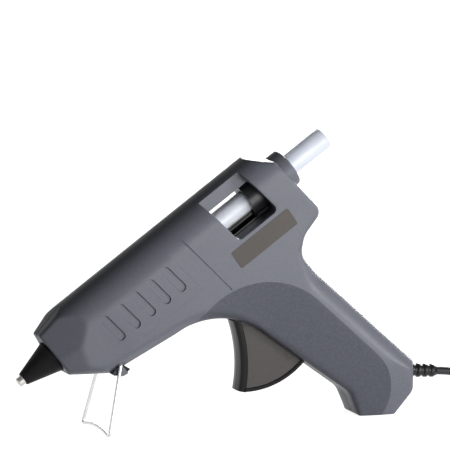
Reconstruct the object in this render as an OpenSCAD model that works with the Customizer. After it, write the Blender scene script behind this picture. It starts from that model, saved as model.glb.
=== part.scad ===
// Hot glue applicator that stands nose down on a wire stand and on its handle.
// Millimetres, +Z up. The nozzle points to -X, the cord leaves to +X, and the left half is at -Y.
// Inside the barrel, u runs back from the outlet along the glue stick and v is square to it, upwards.

/* [Glue stick] */
// Diameter of the glue stick
stick_d = 11.2; // [10.4:0.1:11.8]
// Whole length of the glue stick
stick_len = 140; // [115:1:150]
// Length of the stick behind the collar
stick_tail = 23.7; // [10:0.1:40]

/* [Housing] */
// Half of the housing's width at its side panels
half_w = 15.5; // [15:0.1:17.5]
// Wall thickness of the housing halves
wall = 2.2; // [1.8:0.1:2.5]
// Distance of the handle's butt behind the middle of the tool
butt_x = 104.8; // [103:0.1:110]
// Radius of the rounded shoulders along the top
shoulder_r = 15; // [12:0.1:15.2]
// Radius of the rounded back of the handle
back_r = 12.5; // [9:0.1:13]
// Size of the 45 degree edge under the barrel
lower_edge = 5.5; // [3:0.1:6]
// Inward slope of the grip faces, in degrees
grip_slope = 9.5; // [5:0.5:11]
// Diameter of the collar that the stick enters
collar_d = 20.4; // [18:0.1:24]
// Length of the collar behind the rear face
collar_len = 7; // [4:0.1:9]

/* [Window and slots] */
// Length of the window along the barrel
window_len = 25.6; // [20:0.1:27]
// Height of the window's upper edge above the stick's axis
window_top = 17.1; // [14:0.1:18]
// Depth of the window's lower edge under the stick's axis
window_low = 9.3; // [7:0.1:10]
// Number of slots in each side panel
slot_count = 5; // [3:1:6]
// Length of each slot
slot_len = 16.8; // [10:0.1:19]
// Width of each slot
slot_w = 4.6; // [3:0.1:6]
// Distance from slot to slot
slot_step = 9.9; // [8:0.1:10.5]
// Depth of each slot
slot_depth = 0.5; // [0.2:0.1:0.9]
// Width of the dividing groove
groove_w = 0.6; // [0.4:0.1:1.2]
// Length of the rating plate
plate_len = 37; // [25:0.5:40]
// Height of the rating plate
plate_h = 10; // [6:0.5:11]
// Thickness of the rating plate
plate_t = 0.2; // [0.1:0.05:0.4]

/* [Nozzle] */
// Diameter of the bare metal tip
tip_d = 4.8; // [4:0.1:5.2]
// Length of the bare metal tip
tip_len = 2.5; // [1.5:0.1:4]
// Bore of the outlet
outlet_d = 1.8; // [1:0.1:3]
// Wall of the nozzle's rubber sleeve
sleeve_t = 1; // [0.7:0.1:1.3]
// Diameter of the rubber sleeve where it enters the housing
sleeve_d = 17.2; // [15:0.1:18]

/* [Melt chamber] */
// Diameter of the melt chamber
chamber_d = 19; // [17.5:0.1:20]
// Length of the melt chamber's wide part
chamber_len = 64; // [58:1:64]
// Width of the heater's box under the chamber
heater_box_w = 14; // [12:0.5:16]
// Width of the heating element
heater_w = 8; // [6:0.5:9]
// Length of the heating element
heater_len = 32; // [20:1:36]

/* [Feed] */
// Diameter of the carriage ring
ring_d = 18.6; // [17:0.1:19]
// Length of the carriage ring
ring_len = 11.5; // [9:0.5:12]
// Diameter of the carriage's cross pin
cross_pin_d = 4; // [3:0.1:4.5]
// Thickness of each drawbar
bar_t = 2; // [1.5:0.1:2.3]
// Thickness of the gripping jaw
jaw_t = 3.6; // [2.5:0.1:4]

/* [Trigger] */
// Width of the trigger
trigger_w = 12; // [10:0.1:14]
// Radius of the trigger's lower edge about its pivot
trigger_r = 42.5; // [38:0.1:43]
// Diameter of the trigger's pivot pin
pivot_d = 4; // [3:0.1:5]
// Thickness of the trigger's arm
arm_t = 6; // [4:0.1:6.4]
// Radius of the finger curve on the trigger's front
finger_r = 70; // [50:1:120]
// Depth of the hollow in each side of the trigger
hollow_depth = 0.8; // [0.4:0.1:1.5]

/* [Stand] */
// Diameter of the stand's wire
wire_d = 1.8; // [1.4:0.1:2.2]
// Half of the distance between the stand's feet
stand_half_w = 19.5; // [17:0.5:24]
// Forward lean of the stand's legs, in degrees
stand_lean = 13; // [8:1:18]
// Rise of the bar between the feet
bar_rise = 2.2; // [0.5:0.1:4]

/* [Screws] */
// Diameter of the housing screws
screw_d = 3; // [2.5:0.1:3.2]
// Diameter of their heads
screw_head_d = 5.6; // [5:0.1:6]
// Diameter of the clamp screws
clamp_screw_d = 2.5; // [2:0.1:3]

/* [Cord] */
// Diameter of the cord
cord_d = 4.2; // [3.6:0.1:4.4]
// Diameter of the strain relief's ribs
boot_d = 7.2; // [6.4:0.1:8]
// Length of the strain relief outside the handle
boot_len = 16; // [12:0.5:16]
// Number of ribs on the strain relief
boot_ribs = 4; // [3:1:6]
// Diameter of each inner lead
lead_d = 1.8; // [1.2:0.1:2]
// Thickness of the tie round the coil
tie_t = 0.6; // [0.4:0.1:0.8]
// Width of the tie
tie_w = 6; // [4:0.5:10]

/* [Plug] */
// Diameter of the plug's pins
pin_d = 4; // [4:0.1:4.8]
// Length of the plug's pins
pin_len = 19; // [17:0.5:20]
// Distance between the plug's pins
pin_gap = 18.6; // [17.5:0.1:19]
// Width of the plug at its front
plug_w = 35; // [30:0.5:36]
// Thickness of the plug
plug_h = 13.6; // [12:0.1:14]
// Length of the plug's body
plug_len = 34; // [28:0.5:38]

/* [Fits] */
// Radial clearance of a running fit
running = 0.05; // [0.02:0.01:0.1]
// Clearance between pieces that only lie near each other
clear = 0.3; // [0.2:0.05:0.4]
// Clearance between fixed pieces
snug = 0.1; // [0.05:0.01:0.15]

/* [Hidden] */
$fn = 48;

// Attitude of the barrel and place of its outlet
pitch = 35;
tip = [-105.43, 27.9];
function gun(u, v) = tip + [u * cos(pitch) - v * sin(pitch), u * sin(pitch) + v * cos(pitch)];
module in_gun() translate([tip.x, 0, tip.y]) rotate([0, -pitch, 0]) children();

// Outline helpers: corners are [x, z, radius], listed clockwise
function unit(p) = p / norm(p);
function turn(a, b) = let (d = b - a) d > 180 ? d - 360 : d < -180 ? d + 360 : d;
function fillet(p, q, s, r) =
  let (
    d1 = unit(p - q),
    d2 = unit(s - q),
    half = acos(d1 * d2) / 2,
    reach = r / tan(half),
    mid = q + unit(d1 + d2) * r / sin(half),
    from = q + d1 * reach - mid,
    to = q + d2 * reach - mid,
    a = atan2(from.y, from.x),
    sweep = turn(a, atan2(to.y, to.x)),
    steps = max(2, ceil(abs(sweep) / 14))
  )
  [for (i = [0:steps]) mid + r * [cos(a + sweep * i / steps), sin(a + sweep * i / steps)]];
function flat(c) = [c.x, c.y];
function rounded(cs) = [for (i = [0:len(cs) - 1])
  each fillet(flat(cs[(i + len(cs) - 1) % len(cs)]), flat(cs[i]), flat(cs[(i + 1) % len(cs)]), cs[i].z)];
function inward(p, q) = let (d = unit(q - p)) [d.y, -d.x];
// Moves every side of an outline in by d: outer corners get tighter and inner ones wider
function inset(cs, d) = [for (i = [0:len(cs) - 1])
  let (
    p = flat(cs[(i + len(cs) - 1) % len(cs)]),
    q = flat(cs[i]),
    s = flat(cs[(i + 1) % len(cs)]),
    n1 = inward(p, q),
    n2 = inward(q, s),
    outer = n1.x * n2.y - n1.y * n2.x < 0
  )
  corner(q + d * (n1 + n2) / (1 + n1 * n2), outer ? max(cs[i].z - d, 0.3) : cs[i].z + d)];
function corner(p, r) = [p.x, p.y, r];

// Solids that span the width from y0 to y1, or run along the barrel
module across(y0, y1) translate([0, y1, 0]) rotate([90, 0, 0]) linear_extrude(y1 - y0) children();
module rod(p, y0, y1, d) translate([p.x, y0, p.y]) rotate([-90, 0, 0]) cylinder(h = y1 - y0, d = d);
module tube(u0, u1, d) translate([u0, 0, 0]) rotate([0, 90, 0]) cylinder(h = u1 - u0, d = d);
module turned(points) rotate([0, 90, 0]) rotate_extrude() polygon(points);
module both_sides() { children(); mirror([0, 1, 0]) children(); }

// Side outline of the housing
barrel_top = 18.8;
front_u = 21.5;
rear_u = 169.6;
back_start = [37.75, 89.22];
butt_top = [butt_x, 27.6];
butt_low = [butt_x, 13.8];
base_rear = [butt_x - 11.4, 0];
base_front = [74.5, 0];
arch_r = 42;
arch_corner = [1.5, 62.4];
lower_front = [-60, 31.1];
handle_front = [69.2, 12.6];
outline = [
  corner(gun(front_u, 14.2), 1),
  corner(gun(39.5, barrel_top), 12),
  corner(gun(159.4, barrel_top), 2.5),
  corner(gun(rear_u, 10.7), 1.5),
  corner(gun(175, -25), 5),
  corner(back_start, 12.2),
  corner(butt_top, 7),
  corner(butt_low, 6),
  corner(base_rear, 1),
  corner(base_front, 1.5),
  corner(handle_front, 10),
  corner(arch_corner, arch_r),
  corner(lower_front, 4),
  corner(gun(front_u + 0.3, -10.4), 2)
];
lower_dir = unit(arch_corner - lower_front);
lower_angle = atan2(lower_dir.y, lower_dir.x);
front_dir = unit(handle_front - arch_corner);
arch_half = acos(-(lower_dir * front_dir)) / 2;
arch_mid = arch_corner + unit(front_dir - lower_dir) * arch_r / sin(arch_half);

// Grip face: an arch about grip_mid, then straight down along the handle to the rounded butt
grip_mid = [21.2, 30.4];
grip_r = 43.3;
grip_angle = -42.9;
butt_mid = [butt_x - 39.6, 14.2];
butt_r = 25.2;
grip_rise = tan(grip_slope);
cut_depth = 7;

// Barrel pieces
slant = 10;
window_u = 126.5;
window_floor = 6.5;
window_shelf = 9.9;
window_rim = 1.6;
slot_u = 52.7;
slot_v = -3.1;
groove_u = 107.1;
groove_top = 10;
groove_low = -27.8;
plate_at = [124, -11.5];
collar_u = rear_u - 1.6;
collar_end = rear_u + collar_len + 0.4;
stick_hole = stick_d + 1;
stick_end = collar_end + stick_tail;
sleeve_end = 24.6;
sleeve_flange_d = sleeve_d + 3;
flange_t = 0.6;
front_hole = sleeve_d + 2 * clear;
chamber_u = 33;
chamber_end = chamber_u + chamber_len;
spigot_d = 14;
spigot_u = 26;
neck_d = stick_d + 3.2;
neck_len = 7;
bore_d = stick_d + 2 * clear;
bore_u = 42;
shank_d = 8;
shank_end = 31;
bush_u = 28;
bush_len = 4.6;
bush_d = 23;
box_u = 45;
box_len = 40;
box_low = -19;
pocket_low = -17.6;
pocket_high = -11.6;
pocket_w = heater_w + 1;
rib_us = [bush_u + 1, 88];
rib_t = 2.4;
inlet_end = 114;
inlet_d = neck_d + 2.8;
clamp_u = 99.5;
clamp_len = 2;
clamp_d = inlet_d + 2;

// Feed: the trigger's arm swings from 12.5 degrees behind upright to 12.5 degrees before it
pivot_uv = [116.3, -44.2];
pivot = gun(pivot_uv.x, pivot_uv.y);
swing = 25;
pin_v = -12.4;
pin_u = pivot_uv.x + (pin_v - pivot_uv.y) * tan(swing / 2);
feed_travel = 2 * (pin_v - pivot_uv.y) * tan(swing / 2);
ring_u = 148.5;
bar_h = 6.3;
bar_y = arm_t / 2 + 0.4;
bar_nose = 3.5;
jaw_pin_uv = [ring_u + 3, pin_v];
jaw_pin_d = 2.4;
jaw_gap = 0.7;
jaw_slot = jaw_t / 2 + clear;
ring_low = -8;

// Trigger profile, about its pivot
trigger_front = [-6.6, -8];
trigger_foot = [-4.8, -43.4];
trigger_rear = -38;
hub_d = 13;
arm_w = 10.2;
arm_len = 34.4;
arm_angle = 90 + pitch - swing / 2;
slot_floor = 29.2;
slot_gap = cross_pin_d + 0.6;
front_dip = 2.2;
front_rim = 4;
foot_rim = 2;
trigger_gap = trigger_w / 2 + 0.4;
boss_d = 9;
pivot_end = half_w - 4.9;
spring_arm = 15;
spring_post = [36, 80];
spring_d = 6;
spring_wire = 0.9;
post_d = 4;

// Stand
stand_uv = [45.9, -20.9];
stand = gun(stand_uv.x, stand_uv.y);
lug_d = 14;
lug_face = half_w - 2.3;
lug_in = 7;
leg_y = lug_face + wire_d / 2 + clear;
foot = [stand.x - (stand.y - wire_d / 2) * tan(stand_lean), wire_d / 2];
bar_steps = 8;

// Screws, as x and z of their axes
upper_v = 13.2;
screw_at = [gun(112, upper_v), gun(58, upper_v), gun(164, -20), gun(72, -23), [55.3, 56.8], [80, 9]];
boss_w = screw_d + 3.4;
head_in = 3.4;
head_h = 2;
well_wall = 1.2;
// The upper two heads sit deeper, flush with the rounded shoulders
upper_rise = upper_v + screw_head_d / 2 - barrel_top + shoulder_r;
upper_out = half_w - shoulder_r + sqrt(shoulder_r * shoulder_r - upper_rise * upper_rise) - snug;
function head_seat(i) = (i < 2 ? upper_out : half_w - head_in) - head_h;
screw_tip = -8;

// Cord entry: the strain relief drops a little towards its end
entry = [butt_x, 20];
entry_drop = 5;
boot_in = 8;
boot_flange_d = boot_d + 3;
boot_neck_d = boot_d - 1.6;
boot_bore = cord_d + 2 * snug;
module at_entry() translate([entry.x, 0, entry.y]) rotate([0, 90 + entry_drop, 0]) children();
tail_len = 22;
tail_end = entry + tail_len * [-cos(entry_drop), sin(entry_drop)];
clamp_back = 13;
clamp_at = entry + clamp_back * [-cos(entry_drop), sin(entry_drop)];
clamp_w = 6;
clamp_t = 3;
clamp_reach = 6;
clamp_half = clamp_reach + 3.5;
clamp_head_d = clamp_screw_d + 2;
clamp_y = cord_d / 2 + snug;

// Inner leads from the cord's tail to the heater, on the right half (y is mirrored for the other)
lead_route = [[tail_end.x - 0.6, 1.25, tail_end.y], [80, 1.6, 22.5], [75, 4, 25], [70, 7.6, 30], [66, 9.6, 36],
  [62, 9.6, 42], [56, 9.6, 49], [48, 9.6, 57], [40, 9.6, 64], [32, 9.6, 70], [22, 9.6, 74], [12, 9.6, 75],
  [2, 9.6, 73.6], [-5, 8.6, 72.2], [-11.2, 6.6, 71.4], [-16.3, 3.4, 71.4], [-20.1, 3, 69.3]];
crimp_d = 3.2;
crimp_len = 7;

// Free cord from the strain relief down to the surface
cord_route = [[120.74, 0, 18.61], [124.92, 0, 18.24], [129.5, 0, 17.5], [135, 0, 15.7], [139, 0, 13.1],
  [143, 0, 10.1], [147, 0, 7.2], [151, 0, 5], [155, 0, 3.6], [159, 0, 3], [163, 0, 3]];
cord_end = cord_route[len(cord_route) - 1];

// Coil of four layers: it spirals in and out, and climbs a layer where the spiral turns back
coil_pitch = 4.7;
coil_in = 16.9;
layer_turns = 2;
layers = 4;
coil_steps = 24;
climb = 0.25;
coil_out = coil_in + coil_pitch * layer_turns;
coil_z = cord_end.z;
coil_top = coil_z + coil_pitch * (layers - 1);
// A bend to the right leads the cord into the coil, which turns left
lead_in_r = 18;
lead_in = 75;
lead_at = cord_end + [cord_d, 0, 0];
coil_mid = [lead_at.x, -lead_in_r] + (coil_out + lead_in_r) * [sin(lead_in), cos(lead_in)];
coil_start = 270 - lead_in;
function coil_r(t) = coil_in + coil_pitch * abs(layer_turns - t % (2 * layer_turns));
function ramp(x) = min(1, max(0, x));
function coil_layer(t, k) = k == layers ? 0 :
  ramp((t - k * layer_turns + climb) / (2 * climb)) + coil_layer(t, k + 1);
// The tail rises over the turns to the plug, which lies on them with its pins past the handle's side
tail_r = 17;
tail_turn = 205;
coil_end = 7 + (270 - coil_start) / 360;
tail_rise = 0.18;
tail_steps = 12;
tail_mid = [coil_mid.x, coil_mid.y - coil_r(coil_end) + tail_r];
plug_z = coil_top + cord_d / 2 + clear + plug_h / 2;
rise_turn = 360 * tail_rise * coil_r(coil_end) / tail_r;
function lift(angle) = let (f = ramp((angle + rise_turn) / (tail_turn + rise_turn)))
  (plug_z - coil_top) * f * f * (3 - 2 * f);
function coil_point(t) = let (a = coil_start + 360 * t)
  [coil_mid.x + coil_r(t) * cos(a), coil_mid.y + coil_r(t) * sin(a),
    coil_z + coil_pitch * coil_layer(t, 1) + lift(360 * (t - coil_end) * coil_r(coil_end) / tail_r)];
tail_top = [tail_mid.x + tail_r * sin(tail_turn), tail_mid.y - tail_r * cos(tail_turn), plug_z];
plug_at = tail_top + cord_d * [cos(tail_turn), sin(tail_turn), 0];
coil_route = concat(
  [cord_end, lead_at],
  [for (k = [1:4]) let (a = k * lead_in / 5) lead_at + lead_in_r * [sin(a), cos(a) - 1, 0]],
  [for (i = [0:floor(coil_end * coil_steps)]) coil_point(i / coil_steps)],
  [for (k = [0:tail_steps]) let (a = tail_turn * k / tail_steps)
    [tail_mid.x + tail_r * sin(a), tail_mid.y - tail_r * cos(a), coil_top + lift(a)]],
  [plug_at]);
coil_gap = min([for (i = [0:len(coil_route) - 1]) for (j = [i + 12:1:len(coil_route) - 1])
  norm(coil_route[i] - coil_route[j])]) - cord_d;
echo(coil_least_gap = coil_gap);

// A tube along a list of points: one ring square to the path at each point, and flat ends
function path_dir(ps, i) = unit(ps[min(i + 1, len(ps) - 1)] - ps[max(i - 1, 0)]);
function side_dir(d) = unit(cross(d, abs(d.z) > 0.9 ? [1, 0, 0] : [0, 0, 1]));
function ring(p, d, r, n) = let (s = side_dir(d), w = cross(s, d))
  [for (k = [0:n - 1]) p + r * (s * cos(360 * k / n) + w * sin(360 * k / n))];
function end_dir(ps, i) = i == 0 ? unit(ps[1] - ps[0]) :
  i == len(ps) - 1 ? unit(ps[i] - ps[i - 1]) : path_dir(ps, i);
module swept(ps, d, n) {
  rings = len(ps);
  polyhedron(
    points = [for (i = [0:rings - 1]) each ring(ps[i], end_dir(ps, i), d / 2, n)],
    faces = concat(
      [for (k = [1:n - 2]) [0, k, k + 1]],
      [for (i = [0:rings - 2]) for (k = [0:n - 1])
        each [[i * n + k, (i + 1) * n + k, i * n + (k + 1) % n],
              [i * n + (k + 1) % n, (i + 1) * n + k, (i + 1) * n + (k + 1) % n]]],
      [for (k = [1:n - 2]) [(rings - 1) * n, (rings - 1) * n + k + 1, (rings - 1) * n + k]]));
}

// Housing

// Rounds the outer edge of the half along one straight side of the outline, by radius r
module edge_cut(p, q, r, d) {
  dir = q - p;
  translate([p.x, 0, p.y])
    rotate([0, -atan2(dir.y, dir.x), 0])
      rotate([90, 0, 90])
        linear_extrude(norm(dir))
          polygon(concat(
            [for (a = [0:15:90]) [half_w - r + (r - d) * sin(a), -r + (r - d) * cos(a)]],
            [[half_w + 5, -r], [half_w + 5, 5], [half_w - r, 5]]));
}

// Takes the grip's sloped face off the half
module grip_cut(d) {
  top = half_w - d;
  arch_cut = min(cut_depth, (grip_r - 1) * grip_rise);
  far = 120;
  intersection() {
    translate([grip_mid.x, top - arch_cut, grip_mid.y])
      rotate([-90, 0, 0])
        cylinder(h = arch_cut + 1, r1 = grip_r - arch_cut / grip_rise, r2 = grip_r + 1 / grip_rise);
    translate([grip_mid.x, 0, grip_mid.y])
      rotate([0, -grip_angle, 0])
        translate([-far, 0, -far])
          cube([far, 40, 2 * far]);
  }
  intersection() {
    translate([grip_mid.x, top, grip_mid.y])
      rotate([0, -grip_angle, 0])
        translate([0, 0, grip_r])
          rotate([-grip_slope, 0, 0])
            translate([0, 0, -far])
              cube([far, 30, far]);
    across(0, 30)
      union() {
        translate(grip_mid)
          rotate(grip_angle)
            translate([0, -far])
              square([norm(butt_mid - grip_mid), 2 * far]);
        translate(butt_mid) circle(r = butt_r);
        translate([butt_mid.x - 30, -5]) square([30, 20]);
      }
  }
}

// One half of the housing before its edges are cut, with all faces d inside the outer ones
module half_block(d) intersection() {
  across(0, half_w - d) polygon(rounded(inset(outline, d)));
  in_gun()
    rotate([90, 0, 90])
      linear_extrude(300)
        polygon(concat(
          [[-1, -200], [half_w - d, -200]],
          [for (a = [0:15:90])
            [half_w - shoulder_r, barrel_top - shoulder_r] + (shoulder_r - d) * [cos(a), sin(a)]],
          [[-1, barrel_top - d]]));
}

// What the nose, the lower edge, the grip face and the rounded back take off the block
module half_edges(d) {
  in_gun() {
    // The nose narrows towards the front hole
    translate([0, 0, -60]) linear_extrude(120) polygon([[9, 10 - d], [34, half_w - d], [34, 30], [9, 30]]);
    difference() {
      translate([0, -1, -40]) cube([43, 40, 80]);
      translate([front_u, 0, 1]) rotate([0, 90, 0]) cylinder(h = 22, r1 = 14.2 - d, r2 = 28.5 - d);
    }
  }
  // The 45 degree lower edge runs along the barrel and round the arch
  slip = lower_edge + d * (sqrt(2) - 1);
  translate([lower_front.x, 0, lower_front.y])
    rotate([0, -lower_angle, 0])
      rotate([90, 0, 90])
        translate([0, 0, -8])
          linear_extrude(52)
            polygon([[half_w - slip - 5, -5], [half_w + 5, slip + 5], [half_w + 5, -5]]);
  translate([arch_mid.x, half_w - slip - 1, arch_mid.y])
    rotate([-90, 0, 0])
      cylinder(h = slip + 2, r1 = arch_r - 1, r2 = arch_r + slip + 1);
  grip_cut(d);
  edge_cut(back_start + 9 * unit(butt_top - back_start), butt_top, back_r, d);
  edge_cut(butt_top, butt_low - [0, 12], 9, d);
}

function lean_u(u, v) = u + (window_top - v) * tan(slant);

module window_shape(grow) {
  polygon(rounded([
    [lean_u(window_u, window_top) - grow, window_top + grow, 0.3],
    [lean_u(window_u + window_len, window_top) + grow, window_top + grow, 0.3],
    [lean_u(window_u + window_len, -window_low) + grow, -window_low - grow, 2.5 + grow],
    [lean_u(window_u, -window_low) - grow, -window_low - grow, 2.5 + grow]
  ]));
}

module slot_shape() {
  square([slot_len - slot_w, slot_w], center = true);
  for (s = [-1, 1]) translate([s * (slot_len - slot_w) / 2, 0]) circle(d = slot_w);
}

// Ribs and bosses inside the half
module half_fittings() {
  intersection() {
    half_block(wall / 2);
    union() {
      in_gun() {
        for (u = rib_us) translate([u, 0, -60]) cube([rib_t, 30, 120]);
        // The recess behind the window has its own rim and a shelf above the stick
        across(window_floor, 30) difference() { window_shape(window_rim); window_shape(0); }
        across(window_floor - window_rim, window_floor)
          intersection() { window_shape(window_rim); translate([0, window_shelf]) square([300, 40]); }
        tube(rear_u - 9, rear_u + 9, stick_hole + 4);
      }
      for (p = screw_at) rod(p, 0, 30, boss_w);
      rod(pivot, trigger_gap + snug, 30, boss_d);
      rod(spring_post, 0, 30, post_d);
      rod(spring_post, spring_d / 2 + 1, 30, post_d + 2);
      at_entry() translate([0, 0, -boot_in]) cylinder(h = boot_in, d = boot_flange_d + 6);
    }
  }
}

// The collar behind the rear face and the lug that holds the stand
module half_outside() {
  in_gun() intersection() {
    tube(collar_u, collar_end, collar_d);
    translate([0, 0, -30]) cube([300, 30, 60]);
  }
  rod(stand, lug_in, lug_face, lug_d);
}

// Everything that passes through the half
module half_cuts() {
  in_gun() {
    tube(front_u - 5, front_u + 8, front_hole);
    tube(sleeve_end - flange_t - 3 * snug, sleeve_end + 2, sleeve_flange_d + 2 * snug);
    tube(collar_u - 15, collar_end + 5, stick_hole);
    tube(rib_us[0] - 1, rib_us[0] + rib_t + 1, bush_d + 2 * snug);
    tube(rib_us[1] - 1, rib_us[1] + rib_t + 1, chamber_d + 2 * snug);
    tube(window_u - 4, ring_u, stick_hole);
    tube(ring_u - feed_travel - 1, ring_u + ring_len + 4, ring_d + 1);
    // Room for the heater's box, and for its leads through the second rib
    translate([box_u - 2, -1, box_low - 1])
      cube([rib_us[1] + rib_t + 4 - box_u, heater_box_w / 2 + 2, -box_low]);
    across(window_floor, 40) window_shape(0);
    across(-1, 40) intersection() { window_shape(0); translate([0, -50]) square([300, 50 + window_shelf]); }
    for (i = [0:slot_count - 1])
      translate([slot_u + i * slot_step, half_w - slot_depth, slot_v])
        rotate([0, 90 - slant, 0])
          across(0, 5) slot_shape();
    translate([groove_u, half_w - slot_depth, groove_top])
      rotate([0, 90 - slant, 0])
        translate([0, 0, -groove_w / 2])
          cube([(groove_top - groove_low) / cos(slant), 5, groove_w]);
  }
  // The trigger swings in this slot
  across(-1, trigger_gap)
    intersection() {
      translate(pivot) circle(r = trigger_r + 0.7, $fn = 96);
      translate(pivot + [trigger_front.x - 1.6, -1 - 2 * trigger_r]) square(2 * trigger_r);
    }
  rod(pivot, 0, pivot_end + 0.2, pivot_d);
  // The spring's end hooks into its post
  at_spring() translate([0, 0, spring_len - post_d]) cylinder(h = post_d + snug, d = spring_wire + 2 * snug);
  rod(stand, lug_in - 5, 40, wire_d + 2 * snug);
  // The hole widens where the wire bends out of it
  translate([stand.x, lug_face - wire_d, stand.y])
    rotate([-90, 0, 0])
      cylinder(h = wire_d + 0.1, d1 = wire_d + 2 * snug, d2 = 2 * wire_d + 2 * snug + 0.1);
  rod(stand, lug_face, 40, 3 * wire_d);
  at_entry() {
    translate([0, 0, -boot_in - 20]) cylinder(h = 40, d = boot_neck_d + 2 * snug);
    translate([0, 0, -boot_in + 1.6]) cylinder(h = 2.4 + 2 * snug, d = boot_flange_d + 2 * snug);
  }
}

// The hollow half, with whatever else is made in one piece with it
module half_shell() difference() {
  union() {
    difference() {
      union() {
        difference() {
          half_block(0);
          difference() { half_block(wall); half_edges(wall); }
        }
        half_fittings();
        children();
      }
      half_edges(0);
    }
    half_outside();
  }
  half_cuts();
}

module left_shell() color("dimgray") mirror([0, 1, 0]) difference() {
  half_shell() clamp_posts();
  for (p = screw_at) rod(p, -1, -screw_tip + 1, screw_d + 2 * snug);
  for (s = [-1, 1]) rod(clamp_at + [0, s * clamp_reach], 0, 9, clamp_screw_d + 2 * snug);
  at_entry() translate([0, 0, -40]) cylinder(h = 60, d = cord_d + 2 * snug);
}

// Posts under the cord clamp, with a saddle for the cord
module clamp_posts()
  translate([clamp_at.x - clamp_w / 2, clamp_y, clamp_at.y - clamp_half])
    cube([clamp_w, half_w - wall / 2 - clamp_y, 2 * clamp_half]);

// Walls round the deeper screw heads
module screw_wells() intersection() {
  half_block(wall / 2);
  for (i = [0:1]) rod(screw_at[i], head_seat(i) - well_wall, 30, screw_head_d + 2 * well_wall);
}

module right_shell() color("dimgray") difference() {
  half_shell() screw_wells();
  for (i = [0:len(screw_at) - 1]) {
    rod(screw_at[i], -1, 40, screw_d + 2 * snug);
    rod(screw_at[i], head_seat(i), 40, screw_head_d + 2 * snug);
  }
}

module shell_screws() color("silver") for (i = [0:len(screw_at) - 1]) {
  p = screw_at[i];
  seat = head_seat(i);
  difference() {
    union() {
      rod(p, screw_tip, seat + 0.1, screw_d);
      rod(p, seat, seat + head_h, screw_head_d);
    }
    // Cross recess in the head
    for (a = [0, 90])
      translate([p.x, seat + head_h, p.y]) rotate([0, a, 0]) cube([3, 2, 0.8], center = true);
  }
}

module rating_plate() color("#5c5650") in_gun()
  across(-half_w - plate_t, -half_w)
    translate(plate_at)
      polygon(rounded([[0, 0, 1], [plate_len, 0, 1], [plate_len, -plate_h, 1], [0, -plate_h, 1]]));

// Hot end

cone_r = sleeve_d / 2 - sleeve_t;
module nozzle() color("gainsboro") in_gun() turned([
  [outlet_d / 2, 0], [tip_d / 2 - 0.3, 0], [tip_d / 2, 0.3], [tip_d / 2, tip_len + 0.3], [cone_r, front_u],
  [cone_r, sleeve_end], [spigot_d / 2 - 1, spigot_u - snug], [shank_d / 2, spigot_u - snug],
  [shank_d / 2, shank_end], [outlet_d / 2 + 1.5, shank_end], [outlet_d / 2 + 1, 16], [outlet_d / 2, 6]]);

flange_u = sleeve_end - 2 * snug;
module nozzle_sleeve() color("#1c1c1e") in_gun() turned([
  [tip_d / 2 + snug, tip_len + 0.4], [cone_r + snug, front_u], [cone_r + snug, flange_u],
  [sleeve_flange_d / 2, flange_u], [sleeve_flange_d / 2, flange_u - flange_t],
  [sleeve_d / 2, flange_u - flange_t], [sleeve_d / 2, front_u - 1], [sleeve_d / 2 - 0.4, front_u - 1.6],
  [tip_d / 2 + sleeve_t, tip_len + 0.7], [tip_d / 2 + sleeve_t - 0.3, tip_len + 0.4]]);

module front_bush() color("#3a302a") in_gun() difference() {
  tube(bush_u, bush_u + bush_len, bush_d);
  tube(bush_u - 1, bush_u + bush_len + 1, spigot_d + 2 * snug);
}

module melt_chamber() color("lightgray") in_gun() difference() {
  union() {
    tube(spigot_u, chamber_u + 1, spigot_d);
    tube(chamber_u, chamber_end, chamber_d);
    tube(chamber_end - 1, chamber_end + neck_len, neck_d);
    translate([box_u, -heater_box_w / 2, box_low]) cube([box_len, heater_box_w, -box_low - 4]);
  }
  tube(spigot_u - 1, shank_end + 1, shank_d + 2 * snug);
  tube(shank_end, bore_u + 1, 6);
  translate([bore_u - 4, 0, 0]) rotate([0, 90, 0]) cylinder(h = 4.01, d1 = 6, d2 = bore_d);
  tube(bore_u, chamber_end + neck_len + 1, bore_d);
  translate([box_u + 3, -pocket_w / 2, pocket_low]) cube([box_len, pocket_w, pocket_high - pocket_low]);
}

heater_u = box_u + 3.5;
heater_v = -15.6;
heater_h = 2.4;
electrode_t = 0.6;
module ptc_heater() color("#8c8578") in_gun()
  translate([heater_u, -heater_w / 2, heater_v]) cube([heater_len, heater_w, heater_h]);

// Brass strips above and below the heating element, each with a tail for its lead
module electrode_plates() color("goldenrod") in_gun()
  for (v = [heater_v - electrode_t, heater_v + heater_h])
    translate([heater_u, -heater_w / 2, v]) cube([heater_len + 6, heater_w, electrode_t]);

module heater_wedge() color("whitesmoke") in_gun()
  translate([heater_u, -heater_w / 2, heater_v + heater_h + electrode_t])
    cube([heater_len, heater_w, pocket_high - heater_v - heater_h - electrode_t - 0.02]);

module inlet_sleeve() color("#b5452f") in_gun() difference() {
  tube(chamber_end + snug, inlet_end, inlet_d);
  tube(chamber_end - 1, chamber_end + neck_len + snug, neck_d + 2 * snug);
  tube(chamber_end, inlet_end + 1, stick_d + 2 * clear);
}

module sleeve_clamp() color("silver") in_gun() difference() {
  tube(clamp_u, clamp_u + clamp_len, clamp_d);
  tube(clamp_u - 1, clamp_u + clamp_len + 1, inlet_d + 2 * running);
}

// Feed

module glue_stick() color("#e8ecf6") in_gun() tube(stick_end - stick_len, stick_end, stick_d);

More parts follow.
